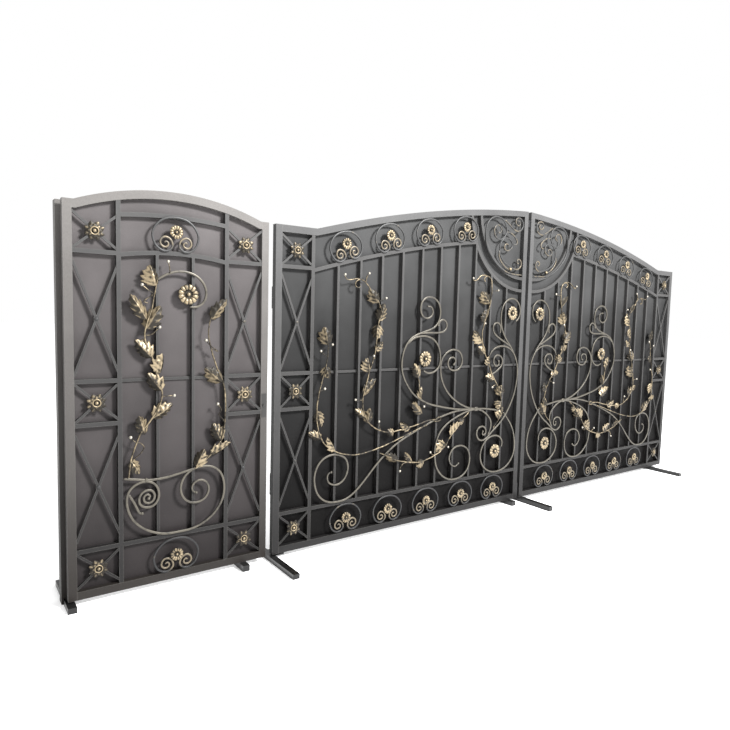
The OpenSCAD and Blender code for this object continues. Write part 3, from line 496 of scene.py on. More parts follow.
class Web:
    """Short ways to add and join shader nodes in one tree."""

    def __init__(self, tree: bpy.types.NodeTree) -> None:
        """Keeps the tree to build in."""
        self.tree = tree

    def add(self, kind: str, **values: Any) -> bpy.types.Node:
        """A new node of a kind, with its properties set."""
        node = self.tree.nodes.new(kind)
        for key, value in values.items():
            setattr(node, key, value)
        return node

    def join(self, source: bpy.types.NodeSocket, target: bpy.types.NodeSocket) -> None:
        """Links an output to an input."""
        self.tree.links.new(source, target)

    def feed(self, value: Any, target: bpy.types.NodeSocket) -> None:
        """Links an output, or sets a constant colour or number."""
        if isinstance(value, bpy.types.NodeSocket):
            self.join(value, target)
        elif isinstance(value, tuple):
            target.default_value = (*value, 1.0)
        else:
            target.default_value = value

    def noise(self, place: bpy.types.NodeSocket, scale: float, detail: float) -> Any:
        """Noise of about 0 to 1 at a number of grains a metre."""
        node = self.add("ShaderNodeTexNoise")
        node.inputs["Scale"].default_value = scale
        node.inputs["Detail"].default_value = detail
        self.join(place, node.inputs["Vector"])
        return node.outputs["Fac"]

    def span(self, value: Any, a: float, b: float, lo: float = 0.0, hi: float = 1.0) -> Any:
        """Maps the range a to b onto lo to hi, clamped."""
        node = self.add("ShaderNodeMapRange")
        self.feed(value, node.inputs["Value"])
        for name, number in (("From Min", a), ("From Max", b), ("To Min", lo), ("To Max", hi)):
            node.inputs[name].default_value = number
        return node.outputs["Result"]

    def mix(self, factor: Any, first: Any, second: Any) -> Any:
        """Mix of two colours by a factor."""
        node = self.add("ShaderNodeMix", data_type="RGBA")
        self.feed(factor, node.inputs[0])
        self.feed(first, node.inputs[6])
        self.feed(second, node.inputs[7])
        return node.outputs[2]

    def mix_value(self, factor: Any, first: Any, second: Any) -> Any:
        """Mix of two numbers by a factor."""
        node = self.add("ShaderNodeMix", data_type="FLOAT")
        self.feed(factor, node.inputs[0])
        self.feed(first, node.inputs[2])
        self.feed(second, node.inputs[3])
        return node.outputs[0]

    def tone(self, colour: Any, value: Any, lo: float, hi: float) -> Any:
        """A colour made darker or lighter by a value from 0.25 to 0.75."""
        scale = self.span(value, 0.25, 0.75, lo, hi)
        node = self.add("ShaderNodeVectorMath", operation="SCALE")
        self.feed(colour, node.inputs[0])
        self.join(scale, node.inputs["Scale"])
        return node.outputs[0]

    def maths(self, kind: str, a: Any, b: Any) -> Any:
        """One sum of two values, clamped to 0 to 1."""
        node = self.add("ShaderNodeMath", operation=kind, use_clamp=True)
        self.feed(a, node.inputs[0])
        self.feed(b, node.inputs[1])
        return node.outputs[0]

    def edge_wear(self, colour: Any, amount: float, breakup: Any) -> Any:
        """Paler paint where a rounded corner's normal leaves the flat face's normal."""
        round_off = self.add("ShaderNodeBevel", samples=4)
        round_off.inputs["Radius"].default_value = 0.004
        flat = self.add("ShaderNodeNewGeometry").outputs["Normal"]
        dot = self.add("ShaderNodeVectorMath", operation="DOT_PRODUCT")
        self.join(round_off.outputs[0], dot.inputs[0])
        self.join(flat, dot.inputs[1])
        corner = self.span(dot.outputs["Value"], 0.99, 0.80, 0.0, amount)
        worn = self.maths("MULTIPLY", corner, self.span(breakup, 0.3, 0.6, 0.45, 1.0))
        return self.mix(worn, colour, (0.15, 0.145, 0.135))

    def gold_and_light_mask(self, place: bpy.types.NodeSocket, reach: float) -> Any:
        """Where the dry brush left gold, plus the painted lit half of each leaf: the
        rub_and_light attribute broken up by brush noise.
        """
        rub_and_light = self.add("ShaderNodeAttribute", attribute_name="rub_and_light").outputs["Fac"]
        brush = self.span(self.noise(place, 55.0, 4.0), 0.3, 0.7, -0.28, 0.28)
        patch = self.span(self.noise(place, 13.0, 2.0), 0.35, 0.65, -0.22, 0.22)
        both = self.add("ShaderNodeMath", operation="ADD")
        self.join(brush, both.inputs[0])
        self.join(patch, both.inputs[1])
        total = self.add("ShaderNodeMath", operation="ADD")
        self.join(rub_and_light, total.inputs[0])
        self.join(both.outputs[0], total.inputs[1])
        return self.span(total.outputs[0], 1.0 - reach - 0.3, 1.0 - reach + 0.3)

    def bump(self, height: Any, strength: float) -> Any:
        """Small relief from a height of about 0 to 1."""
        node = self.add("ShaderNodeBump")
        node.inputs["Strength"].default_value = strength
        node.inputs["Distance"].default_value = 0.002
        self.join(height, node.inputs["Height"])
        return node.outputs[0]


# In every finish, low and high are painted light: a painted sheen on the upper gate and painted
# shade near the ground.
GRAPHITE = Finish("graphite_paint", (0.0075, 0.0071, 0.0071), (0.050, 0.0497, 0.0497), 0.46,
                  edge=0.30, grain=0.16, specular=0.15)
# The side gate's frame and sheet are lighter copies of the driveway paint: painted light for the
# brighter light on the side gate, with a painted sheen on the sheet.
LIT_SIDE_FRAME = Finish("side_gate_frame_painted_light", (0.0125, 0.0108, 0.0096), (0.090, 0.085, 0.081), 0.46,
                    edge=0.30, grain=0.16, specular=0.15)
BAR_PAINT = Finish("bar_paint", (0.0075, 0.0070, 0.0069), (0.038, 0.0374, 0.037), 0.46,
                   edge=0.40, grain=0.16, specular=0.15)
SHEET_PAINT = Finish("sheet_paint", (0.0022, 0.0020, 0.0020), (0.037, 0.0372, 0.0372), 0.50,
                     grain=0.30, bump=0.10, specular=0.05, fall=1.9)
LIT_SIDE_SHEET = Finish("side_gate_sheet_painted_sheen", (0.0125, 0.0108, 0.0109), (0.064, 0.0585, 0.0585), 0.50,
                    grain=0.26, bump=0.10, specular=0.08, fall=1.1)
RUBBED = Finish("rubbed_iron", (0.008, 0.0072, 0.0064), (0.014, 0.013, 0.0115), 0.42,
                gold=(0.064, 0.058, 0.047), gold_reach=0.33, specular=0.25, shine=0.45)
RING_IRON = Finish("ring_iron", (0.010, 0.010, 0.0104), (0.026, 0.026, 0.026), 0.42,
                   gold=(0.100, 0.083, 0.058), gold_reach=0.36, specular=0.25, shine=0.45)
PATINA = Finish("patina_gold", (0.009, 0.0072, 0.0048), (0.013, 0.0107, 0.007), 0.46, metal=0.2,
                gold=(0.185, 0.148, 0.095), gold_reach=0.36, specular=0.2, grain=0.30, bump=0.35,
                shine=0.5)
BERRY = Finish("pale_berry", (0.035, 0.031, 0.026), (0.045, 0.041, 0.035), 0.34, metal=0.3,
               gold=(0.25, 0.23, 0.195), gold_reach=0.55, shine=0.5)
TUBE = Finish("black_tube", (0.004, 0.004, 0.004), (0.006, 0.006, 0.006), 0.30,
              bump=0.05, grain=0.2, specular=0.3)
# The closing strip's near-black colour is painted shade: it stands for the shadow the strip sits
# in behind the meeting stiles.
SHADED_STRIP = Finish("strip_painted_shade", (0.006, 0.006, 0.0065), (0.010, 0.010, 0.011), 0.45, bump=0.05,
               specular=0.2)
STEEL = Finish("lock_steel", (0.018, 0.0175, 0.017), (0.03, 0.029, 0.028), 0.38, metal=0.6)


class Dresser:
    """Builds each finish once and hands it out."""

    def __init__(self) -> None:
        """Starts with no material made."""
        self.made: dict[str, bpy.types.Material] = {}

    def material(self, finish: Finish) -> bpy.types.Material:
        """The node material of a finish."""
        if finish.name not in self.made:
            self.made[finish.name] = finish.build()
        return self.made[finish.name]

    def paint(self, obj: bpy.types.Object, finish: Finish) -> None:
        """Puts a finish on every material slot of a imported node."""
        for holder in obj.material_slots:
            holder.material = self.material(finish)
        if not obj.material_slots:
            obj.data.materials.append(self.material(finish))


# ---------------------------------------------------------------- placing
@dataclass(frozen=True)
class Corner:
    """A leaf's lower outer corner in the model, and whether the leaf runs towards -X."""

    x: float
    y: float
    z: float
    flip: bool = False

    def model(self, points: np.ndarray) -> np.ndarray:
        """Gate millimetres to model metres."""
        sign = -1.0 if self.flip else 1.0
        scale = np.array([sign, 1.0, 1.0]) * MM
        return points * scale + np.array([self.x, self.y, self.z])


@dataclass
class Maker:
    """Turns surfaces into objects that ride on their bodies."""

    dresser: Dresser
    shown: list[str] = field(default_factory=list)

    def make(self, name: str, skin: Surface, corner: Corner, finish: Finish, body: str,
             replaced: tuple[str, ...] = ()) -> bpy.types.Object:
        """Builds one finished piece.

        Args:
            name: object name.
            skin: closed surface in gate millimetres.
            corner: where the leaf's corner is.
            finish: its material.
            body: the CAD body it rides on.
            replaced: CAD nodes it stands for.

        Returns:
            The linked object.
        """
        placed = Surface(corner.model(skin.points), skin.quads, skin.tris, skin.rub_and_light).outward()
        mesh = bpy.data.meshes.new(name)
        faces = placed.quads.tolist() + placed.tris.tolist()
        mesh.from_pydata(placed.points.tolist(), [], faces)
        rub_and_light = mesh.attributes.new("rub_and_light", "FLOAT", "POINT")
        rub_and_light.data.foreach_set("value", placed.rub_and_light.astype(np.float32))
        mesh.polygons.foreach_set("use_smooth", np.ones(len(mesh.polygons), bool))
        mesh.materials.append(self.dresser.material(finish))
        mesh.update()
        obj = bpy.data.objects.new(name, mesh)
        bpy.context.scene.collection.objects.link(obj)
        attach(obj, body)
        if replaced:
            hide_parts(*replaced)
        self.shown.append(name)
        LOG.info("%s: %d faces on %s", name, len(mesh.polygons), body)
        return obj


# ---------------------------------------------------------------- driveway leaf ornament
@dataclass
class ForgedWork:
    """Depths and bar sizes that every leaf's forged work shares, in gate millimetres."""

    ring_y: float = -3.0
    ring_flower_y: float = -7.0
    scroll_y: float = -5.0
    stem_y: float = -14.0
    leaf_y: float = -19.0
    flower_y: float = 0.0
    rosette_y: float = 4.0
    tie_y: float = 5.0
    volute: float = 190.0
    scroll: BarSection = BarSection(6.6, 5.4, start_scale=0.85, end_scale=0.7, taper=0.12)
    ring: BarSection = BarSection(5.6, 4.8, start_scale=0.8, end_scale=0.8, taper=0.15, spokes=10)
    stem: BarSection = BarSection(4.6, 4.6, square=1.0, end_scale=0.6, taper=0.4, spokes=9)
    twig: BarSection = BarSection(2.8, 2.8, square=1.0, spokes=7)

    def lay(self, line: np.ndarray, y: float, wave: float = 0.0) -> np.ndarray:
        """A face line (x, z) at a depth, with a gentle wave of depth along it."""
        run = np.concatenate([[0.0], np.cumsum(np.linalg.norm(np.diff(line, axis=0), axis=1))])
        depth = y - wave * 0.5 * (1.0 - np.cos(run / 90.0 * TAU))
        return np.stack([line[:, 0], depth, line[:, 1]], axis=-1)

    def scroll_bar(self, line: Line, scale: np.ndarray) -> Surface:
        """One scroll bar of the big ornament."""
        path = even_line(smooth_line((np.asarray(line) * scale).tolist()), 7.0)
        return forged_bar(self.lay(path, self.scroll_y), self.scroll)

    def ring_bar(self, line: np.ndarray, bright: float = 1.0) -> Surface:
        """One bar of a ring or corner scroll, rubbed bright only in the volutes at its ends."""
        path = self.lay(even_line(line, 5.0, 1), self.ring_y)
        run = np.concatenate([[0.0], np.cumsum(np.linalg.norm(np.diff(path, axis=0), axis=1))])
        near = np.minimum(run, run[-1] - run)
        gild = bright * np.clip(1.0 - (near - self.volute) / 60.0, 0.12, 1.0)
        return forged_bar(path, self.ring, gild)

    def stem_bar(self, line: Line, scale: np.ndarray) -> Surface:
        """One vine stem, rising and falling along its way."""
        path = even_line(smooth_line((np.asarray(line) * scale).tolist()), 7.0)
        return forged_bar(self.lay(path, self.stem_y, 3.0), self.stem, 0.62)

    def twig_bar(self, line: Line, scale: np.ndarray) -> Surface:
        """One thin twig to a berry."""
        path = even_line(smooth_line((np.asarray(line) * scale).tolist()), 5.0, 0)
        return forged_bar(self.lay(path, self.stem_y, 2.0), self.twig, 0.45)

    def tip_ball(self, point: list[float], scale: np.ndarray, radius: float) -> Surface:
        """A small ball at the inner end of a scroll."""
        x, z = np.asarray(point) * scale
        return round_knob(np.array([x, self.scroll_y, z]), radius)

    def leaf(self, spec: list[Any], scale: np.ndarray, number: int) -> Surface:
        """One leaf of a vine, each bent a little differently by its number in the vine."""
        foot, tip, width = np.asarray(spec[0]) * scale, np.asarray(spec[1]) * scale, spec[2]
        roll = (-24.0, 18.0, 8.0, -14.0, 26.0, -6.0)[number % 6]
        shape = LeafShape(teeth=3.5 + 0.5 * (number % 3), cup=5.0 + 1.6 * (number % 3),
                          arch=7.0 + 2.0 * (number % 2), roll=roll,
                          curl=(6.0, -3.0, 9.0)[number % 3],
                          skew=(0.16, -0.20, 0.08, -0.12)[number % 4])
        low = np.array([foot[0], self.leaf_y + 4.0, foot[1]])
        high = np.array([tip[0], self.leaf_y, tip[1]])
        return forged_leaf(low, high, width * 1.24, shape)

    def berry(self, point: list[float], scale: np.ndarray) -> Surface:
        """One berry in front of its twig."""
        x, z = np.asarray(point) * scale
        return round_knob(np.array([x, self.leaf_y + 1.0, z]), 8.8)

    def daisy(self, x: float, z: float, y: float, radius: float) -> list[Surface]:
        """A stamped daisy with a ball in its dish."""
        petals = Petals(radius, 12, radius * 0.30, PetalStyle.DAISY, groove=0.75)
        ball = round_knob(np.array([x, y - radius * 0.24, z]), radius * 0.19)
        return [stamped_flower(np.array([x, y, z]), petals), ball]

    def rosette(self, x: float, z: float, radius: float) -> list[Surface]:
        """A rosette: a wide and a narrow eight-pointed star, a wire ring and a ball."""
        y = self.rosette_y
        low = Petals(radius, 8, 7.0, PetalStyle.STAR, 0.26, 0.55, 0.62)
        top = Petals(radius * 0.70, 8, 6.0, PetalStyle.STAR, 0.14, 0.30, 0.52)
        return [stamped_flower(np.array([x, y, z]), low),
                stamped_flower(np.array([x, y - 4.0, z]), top, TAU / 16),
                wire_ring(np.array([x, y - 9.0, z]), radius * 0.37, radius * 0.07),
                round_knob(np.array([x, y - 9.0, z]), radius * 0.18)]

    def tie(self, x: float, z: float) -> Surface:
        """The small band where two crossed bars are tied together."""
        line = np.array([[x - 11.0, z], [x, z], [x + 11.0, z]])
        section = BarSection(8.0, 5.5, square=0.5, taper=0.5, spokes=10)
        return forged_bar(self.lay(even_line(line, 3.0, 0), self.tie_y), section, 0.30)

    def collar(self, x: float, z: float, width: float, height: float) -> Surface:
        """A forged collar: a short thick band wrapped across the bars."""
        line = np.array([[x - width / 2, z], [x - width / 4, z], [x, z], [x + width / 4, z],
                         [x + width / 2, z]])
        section = BarSection(height / 2, 8.5, square=0.5, start_scale=0.86, end_scale=0.86,
                             taper=0.5)
        return forged_bar(self.lay(even_line(line, width / 8, 0), self.scroll_y - 1.0), section)


LEAF_GRID = np.array([1984.0, 2000.0])              # grid the leaf's ornament is drawn on
WICKET_GRID = np.array([1080.0, 2000.0])            # the same for the side gate
RAIL_SHARES = np.array([0.8785, 0.5565, 0.4465])    # rail heights over the shoulder height
ARCH_SHARE = 8900.0 / 2222.0                        # radius of the arch over the leaf's width
CROSS_DOWN = 10.0                                   # the upper cross sits this much lower
RING_HALF: Line = [
    [0, 89], [60, 78], [103, 42], [122, -6], [106, -60], [72, -86], [40, -85], [19, -64],
    [21, -40], [34, -22], [57, -14], [77, -26], [82, -50], [66, -67], [46, -64], [39, -48],
    [52, -37], [62, -46],
]


def roundel_line(x: float, z: float, tilt: float) -> np.ndarray:
    """A roundel: the half line joined to its mirror image, turned by the tilt and moved."""
    half = np.asarray(RING_HALF, float)
    whole = smooth_line(np.concatenate([half[:0:-1] * np.array([-1.0, 1.0]), half]).tolist())
    turn = np.array([[math.cos(tilt), math.sin(tilt)], [-math.sin(tilt), math.cos(tilt)]])
    return whole @ turn + np.array([x, z])


def square_middles(height: float, frame: float, band_z: float) -> list[float]:
    """Middle heights of the three crossed squares in a side column, from the top down.

    Args:
        height: a leaf's height at its shoulder.
        frame: face width of the frame.
        band_z: height of the rail above the bottom band.

    Returns:
        Halfway between the rails that bound each square.
    """
    rails = height * RAIL_SHARES
    low = np.array([rails[0], rails[2], frame])
    high = np.array([height - frame, rails[1], band_z])
    return [float(z) for z in (low + high) / 2]


def cross_middles(height: float, band_z: float) -> list[float]:
    """Middle heights of the two tall crosses in a side column, from the top down."""
    rails = height * RAIL_SHARES
    return [(rails[0] + rails[1]) / 2 - CROSS_DOWN, (rails[2] + band_z) / 2]


@dataclass
class DrivewayLeaf:
    """Forged work of one driveway leaf; the right leaf is the left one flipped."""

    name: str
    corner: Corner
    width: float
    height: float
    work: ForgedWork = field(default_factory=ForgedWork)
    frame: float = 42.0
    rail: float = 22.0
    band_z: float = 247.0
    mullion_x: float = 255.0
    bays: int = 11
    arch_rise: float = 336.0
    panel_drop: float = 250.0
    arch_in: float = 15.0
    roundel_up: float = 6.0
    rosette_r: float = 50.0
    flower_r: float = 55.0
    ring_flower_r: float = 36.0
    top_flower_up: float = 14.0

    def __post_init__(self) -> None:
        """Works out the ornament scale and the arch's circle from the leaf's sizes."""
        self.scale = np.array([self.width, self.height]) / LEAF_GRID
        self.inner_x = self.mullion_x + self.rail / 2
        self.bay = (self.width - self.frame - self.inner_x) / self.bays
        self.arch_r = ARCH_SHARE * self.width
        low = np.array([self.inner_x + self.arch_in, self.height])
        high = np.array([self.width, self.height + self.arch_rise])
        chord = high - low
        half = np.linalg.norm(chord) / 2
        down = np.array([chord[1], -chord[0]]) / np.linalg.norm(chord)
        self.arch_c = (low + high) / 2 + down * math.sqrt(self.arch_r**2 - half**2)

    def arch_z(self, x: float, drop: float) -> float:
        """Height at x of a circle a distance inside the arch."""
        return self.arch_c[1] + math.sqrt((self.arch_r - drop)**2 - (x - self.arch_c[0])**2)

    def roundels(self) -> list[tuple[float, float, float]]:
        """Place and tilt of the nine roundels: five along the bottom, four under the arch."""
        low = [(self.inner_x + self.bay * (1.5 + 2 * k), (self.frame + self.band_z) / 2, 0.0)
               for k in range(5)]
        drop = (self.frame + self.panel_drop) / 2 - self.roundel_up
        xs = [self.inner_x + self.bay * (1.28 + 2.01 * k) for k in range(4)]
        top = [(x, self.arch_z(x, drop),
                math.atan((self.arch_c[0] - x) / (self.arch_z(x, 0.0) - self.arch_c[1])))
               for x in xs]
        return low + top

    def rosette_places(self) -> list[tuple[float, float]]:
        """Middles of the three crossed squares in the side column."""
        x = (self.frame + self.mullion_x - self.rail / 2) / 2
        return [(x, z) for z in square_middles(self.height, self.frame, self.band_z)]

    def crossings(self) -> list[tuple[float, float]]:
        """Middles of the two tall crosses in the side column."""
        x = (self.frame + self.mullion_x) / 2
        return [(x, z) for z in cross_middles(self.height, self.band_z)]

    def build(self, maker: Maker) -> None:
        """Makes every forged piece of the leaf."""
        work, scale, body = self.work, self.scale, f"{self.name}_leaf"
        lines = [np.asarray(line, float) * scale for line in CORNER_SCROLLS]
        rings = [work.ring_bar(roundel_line(*place)) for place in self.roundels()]
        rings += [work.ring_bar(smooth_line(line.tolist()), 0.62) for line in lines]
        rings += [work.tie(x, z) for x, z in self.crossings()]
        maker.make(f"{self.name}_roundel_rings", joined(rings), self.corner, RING_IRON, body,
                   (f"{self.name}_roundels",))
        bars = [work.scroll_bar(line, scale) for line in LEAF_SCROLLS]
        bars += [work.tip_ball(p, scale, 8.5) for p in SCROLL_TIPS]
        hub = np.asarray(HUB) * scale
        bars.append(work.collar(hub[0], hub[1], 50.0, 34.0))
        maker.make(f"{self.name}_scroll_bars", joined(bars), self.corner, RUBBED, body,
                   (f"{self.name}_scrolls",))
        vines = [work.stem_bar(line, scale) for line in LEAF_STEMS]
        vines += [work.twig_bar(line, scale) for line in LEAF_TWIGS]
        vines += [work.leaf(spec, scale, k) for k, spec in enumerate(LEAF_LEAVES)]
        maker.make(f"{self.name}_vine_work", joined(vines), self.corner, PATINA, body,
                   (f"{self.name}_vines",))
        berries = [work.berry(p, scale) for p in LEAF_BERRIES]
        maker.make(f"{self.name}_berries", joined(berries), self.corner, BERRY, body)
        rosettes: list[Surface] = []
        for x, z in self.rosette_places():
            rosettes += work.rosette(x, z, self.rosette_r)
        for k, (x, z, _) in enumerate(self.roundels()):
            lift = self.top_flower_up if k >= 5 else 0.0
            rosettes += work.daisy(x, z + lift, work.ring_flower_y, self.ring_flower_r)
        for point in CORNER_BALLS:
            x, z = np.asarray(point) * scale
            rosettes.append(round_knob(np.array([x, -9.0, z]), 13.0))
        maker.make(f"{self.name}_rosette_work", joined(rosettes), self.corner, PATINA, body,
                   (f"{self.name}_rosettes",))
        daisies: list[Surface] = []
        for point in LEAF_FLOWERS:
            x, z = np.asarray(point) * scale
            daisies += work.daisy(x, z, work.flower_y, self.flower_r)
        maker.make(f"{self.name}_daisies", joined(daisies), self.corner, PATINA, body,
                   (f"{self.name}_flowers",))


HUB: list[float] = [1523, 784]
LEAF_SCROLLS: list[Line] = [
    [HUB, [1350, 782], [1200, 750], [1080, 705], [950, 650], [830, 588], [735, 515],
     [665, 445], [600, 372], [535, 308], [475, 270], [415, 260], [355, 267], [305, 296],
     [270, 345], [254, 410], [256, 470], [280, 528], [322, 564], [375, 577], [425, 566],
     [462, 538], [478, 492], [474, 445], [452, 402], [415, 376], [378, 378], [348, 398],
     [338, 428], [345, 455], [365, 462]],
    [HUB, [1400, 790], [1300, 803], [1200, 825], [1100, 852], [1020, 892], [960, 935],
     [910, 1000], [875, 1070], [862, 1140], [870, 1220], [900, 1290], [945, 1335],
     [1000, 1360], [1060, 1380], [1115, 1402], [1150, 1440], [1166, 1490], [1163, 1545],
     [1140, 1590], [1095, 1616], [1045, 1612], [1010, 1580], [1000, 1535], [1012, 1492],
     [1045, 1468], [1085, 1478], [1104, 1512], [1090, 1548], [1060, 1552]],
    [[1000, 1360], [1070, 1366], [1140, 1366], [1195, 1374], [1224, 1402], [1222, 1440],
     [1190, 1462], [1162, 1445], [1154, 1418]],
    [[906, 1290], [950, 1325], [1000, 1340], [1060, 1340], [1120, 1315], [1160, 1265],
     [1178, 1200], [1172, 1130], [1135, 1088], [1085, 1076], [1040, 1095]],
    [HUB, [1440, 802], [1360, 840], [1285, 895], [1230, 960], [1195, 1035], [1184, 1110],
     [1195, 1175], [1235, 1222], [1290, 1243], [1345, 1228], [1372, 1185], [1372, 1135],
     [1345, 1098], [1300, 1088], [1262, 1105], [1247, 1145], [1262, 1178], [1298, 1185],
     [1318, 1158], [1300, 1132]],
    [HUB, [1440, 770], [1350, 740], [1270, 700], [1210, 650], [1175, 590], [1160, 520],
     [1160, 450], [1178, 375], [1220, 315], [1275, 276], [1340, 262], [1405, 274],
     [1455, 315], [1478, 375], [1475, 435], [1450, 485], [1400, 513], [1345, 510],
     [1305, 480], [1288, 430], [1305, 382], [1345, 360], [1375, 378]],
    [HUB, [1580, 766], [1630, 732], [1666, 692], [1678, 648], [1668, 605], [1650, 565]],
    [HUB, [1600, 780], [1670, 769], [1735, 758], [1768, 750]],
    [[1600, 598], [1594, 578], [1614, 572], [1630, 592], [1622, 624], [1590, 642],
     [1552, 628], [1538, 590], [1556, 546], [1598, 530], [1642, 548], [1700, 598],
     [1765, 650], [1822, 715], [1872, 800], [1908, 890], [1928, 990], [1930, 1080],
     [1912, 1150], [1880, 1208], [1830, 1248], [1770, 1264], [1705, 1256], [1655, 1222],
     [1632, 1180]],
    [[1640, 1040], [1680, 1052], [1725, 1078], [1760, 1110], [1768, 1155], [1742, 1188],
     [1705, 1192], [1680, 1165], [1682, 1130], [1705, 1108], [1733, 1118], [1730, 1146]],
    [[1795, 455], [1798, 500], [1770, 540], [1715, 556], [1655, 540], [1608, 495],
     [1583, 430], [1592, 360], [1632, 303], [1695, 268], [1765, 262], [1840, 282],
     [1896, 332], [1927, 395], [1932, 465], [1918, 550], [1885, 625], [1830, 700],
     [1800, 735]],
    [[1890, 1458], [1920, 1490], [1932, 1540], [1920, 1592], [1885, 1628], [1838, 1640],
     [1785, 1618], [1750, 1570], [1736, 1510], [1740, 1440], [1762, 1375], [1800, 1315],
     [1845, 1262], [1885, 1208]],
    [[1845, 1262], [1790, 1292], [1730, 1325], [1682, 1358], [1660, 1395], [1668, 1432],
     [1700, 1448], [1730, 1430], [1738, 1395], [1732, 1365]],
]
SCROLL_TIPS: Line = [[365, 462], [1375, 378], [1154, 1418], [1060, 1552], [1300, 1132],
                     [1730, 1146], [1600, 600]]
LEAF_STEMS: list[Line] = [
    [[1080, 705], [1000, 682], [850, 630], [700, 584], [550, 558], [450, 572], [380, 600],
     [320, 645], [285, 700], [262, 780], [257, 860], [262, 940], [280, 1030], [305, 1120],
     [320, 1200], [325, 1290]],
    [[1150, 738], [1080, 735], [1000, 715], [930, 702], [850, 690], [780, 682], [720, 695],
     [660, 725], [610, 770], [580, 830], [568, 900], [575, 960], [595, 1040], [612, 1110],
     [640, 1190], [655, 1270], [660, 1360], [672, 1440], [690, 1500], [665, 1570],
     [620, 1620], [590, 1670], [555, 1702], [515, 1712], [480, 1705], [440, 1702],
     [425, 1730]],
    [[555, 1702], [525, 1708], [500, 1690], [500, 1665], [520, 1652], [536, 1668]],
    [[570, 1690], [575, 1725], [592, 1750]],
    [[1450, 766], [1395, 725], [1355, 680], [1310, 630], [1270, 575], [1235, 525],
     [1180, 485], [1100, 455], [1030, 440], [960, 445], [900, 452], [872, 432], [862, 400]],
    [[1000, 440], [900, 460], [830, 480], [760, 520], [700, 548]],
    [[1440, 1772], [1450, 1756], [1480, 1766], [1515, 1797], [1560, 1802], [1605, 1785],
     [1622, 1740], [1622, 1660], [1612, 1590], [1590, 1510], [1560, 1430], [1545, 1350],
     [1560, 1270], [1590, 1190], [1630, 1110], [1660, 1040], [1710, 970], [1745, 900],
     [1765, 820], [1765, 740], [1735, 670], [1690, 620]],
    [[1600, 1788], [1575, 1798], [1550, 1788], [1545, 1768], [1562, 1756]],
    [[1020, 892], [1005, 950], [1000, 1010], [985, 1070]],
    [[1150, 738], [1170, 752], [1190, 748], [1190, 730], [1165, 722], [1140, 724]],
]
LEAF_LEAVES: list[list[Any]] = [
    [[322, 1285], [300, 1400], 85], [[310, 1150], [330, 1075], 65],
    [[262, 870], [290, 765], 65], [[290, 690], [205, 735], 60], [[385, 600], [325, 700], 60],
    [[590, 800], [515, 860], 50], [[605, 760], [625, 860], 65], [[572, 950], [660, 1060], 75],
    [[612, 1100], [600, 1200], 85], [[650, 1250], [705, 1305], 55],
    [[665, 1420], [655, 1320], 75], [[675, 1440], [712, 1560], 75],
    [[665, 1560], [600, 1650], 75], [[1035, 790], [940, 870], 75],
    [[1010, 895], [1030, 985], 50], [[990, 1045], [955, 1150], 65],
    [[940, 692], [850, 740], 60], [[800, 650], [760, 700], 55], [[850, 470], [750, 530], 60],
    [[965, 445], [890, 525], 50], [[1060, 445], [1000, 415], 60],
    [[1250, 545], [1165, 490], 95], [[1285, 600], [1370, 695], 90],
    [[1360, 690], [1410, 720], 50], [[1610, 1590], [1530, 1680], 85],
    [[1558, 1440], [1582, 1552], 85], [[1550, 1290], [1475, 1385], 85],
    [[1580, 1200], [1515, 1260], 65], [[1625, 1110], [1620, 1190], 75],
    [[1690, 1000], [1600, 1030], 65], [[1745, 870], [1765, 955], 75],
    [[1765, 830], [1730, 760], 70], [[1745, 680], [1795, 775], 85],
]
LEAF_BERRIES: Line = [
    [275, 1248], [350, 1288], [305, 1010], [515, 925], [690, 765], [720, 1595], [640, 1210],
    [592, 1750], [425, 1732], [862, 398], [1110, 500], [1265, 520], [1045, 840], [1440, 1774],
    [1685, 1695], [1570, 1440], [1665, 945],
]
LEAF_TWIGS: list[Line] = [
    [[275, 1248], [300, 1225], [320, 1215]], [[350, 1288], [335, 1270], [325, 1260]],
    [[305, 1010], [290, 1000], [272, 1000]], [[515, 925], [545, 920], [570, 920]],
    [[690, 765], [695, 735], [705, 702]], [[720, 1595], [700, 1585], [665, 1570]],
    [[640, 1210], [652, 1200], [642, 1190]], [[1110, 500], [1130, 480], [1160, 475]],
    [[1265, 520], [1255, 530], [1238, 530]], [[1045, 840], [1055, 850], [1060, 868]],
    [[1685, 1695], [1660, 1690], [1622, 1690]], [[1570, 1440], [1568, 1435], [1560, 1430]],
    [[1665, 945], [1690, 960], [1715, 965]],
]
LEAF_FLOWERS: Line = [[1050, 1180], [1725, 430], [1850, 1525]]
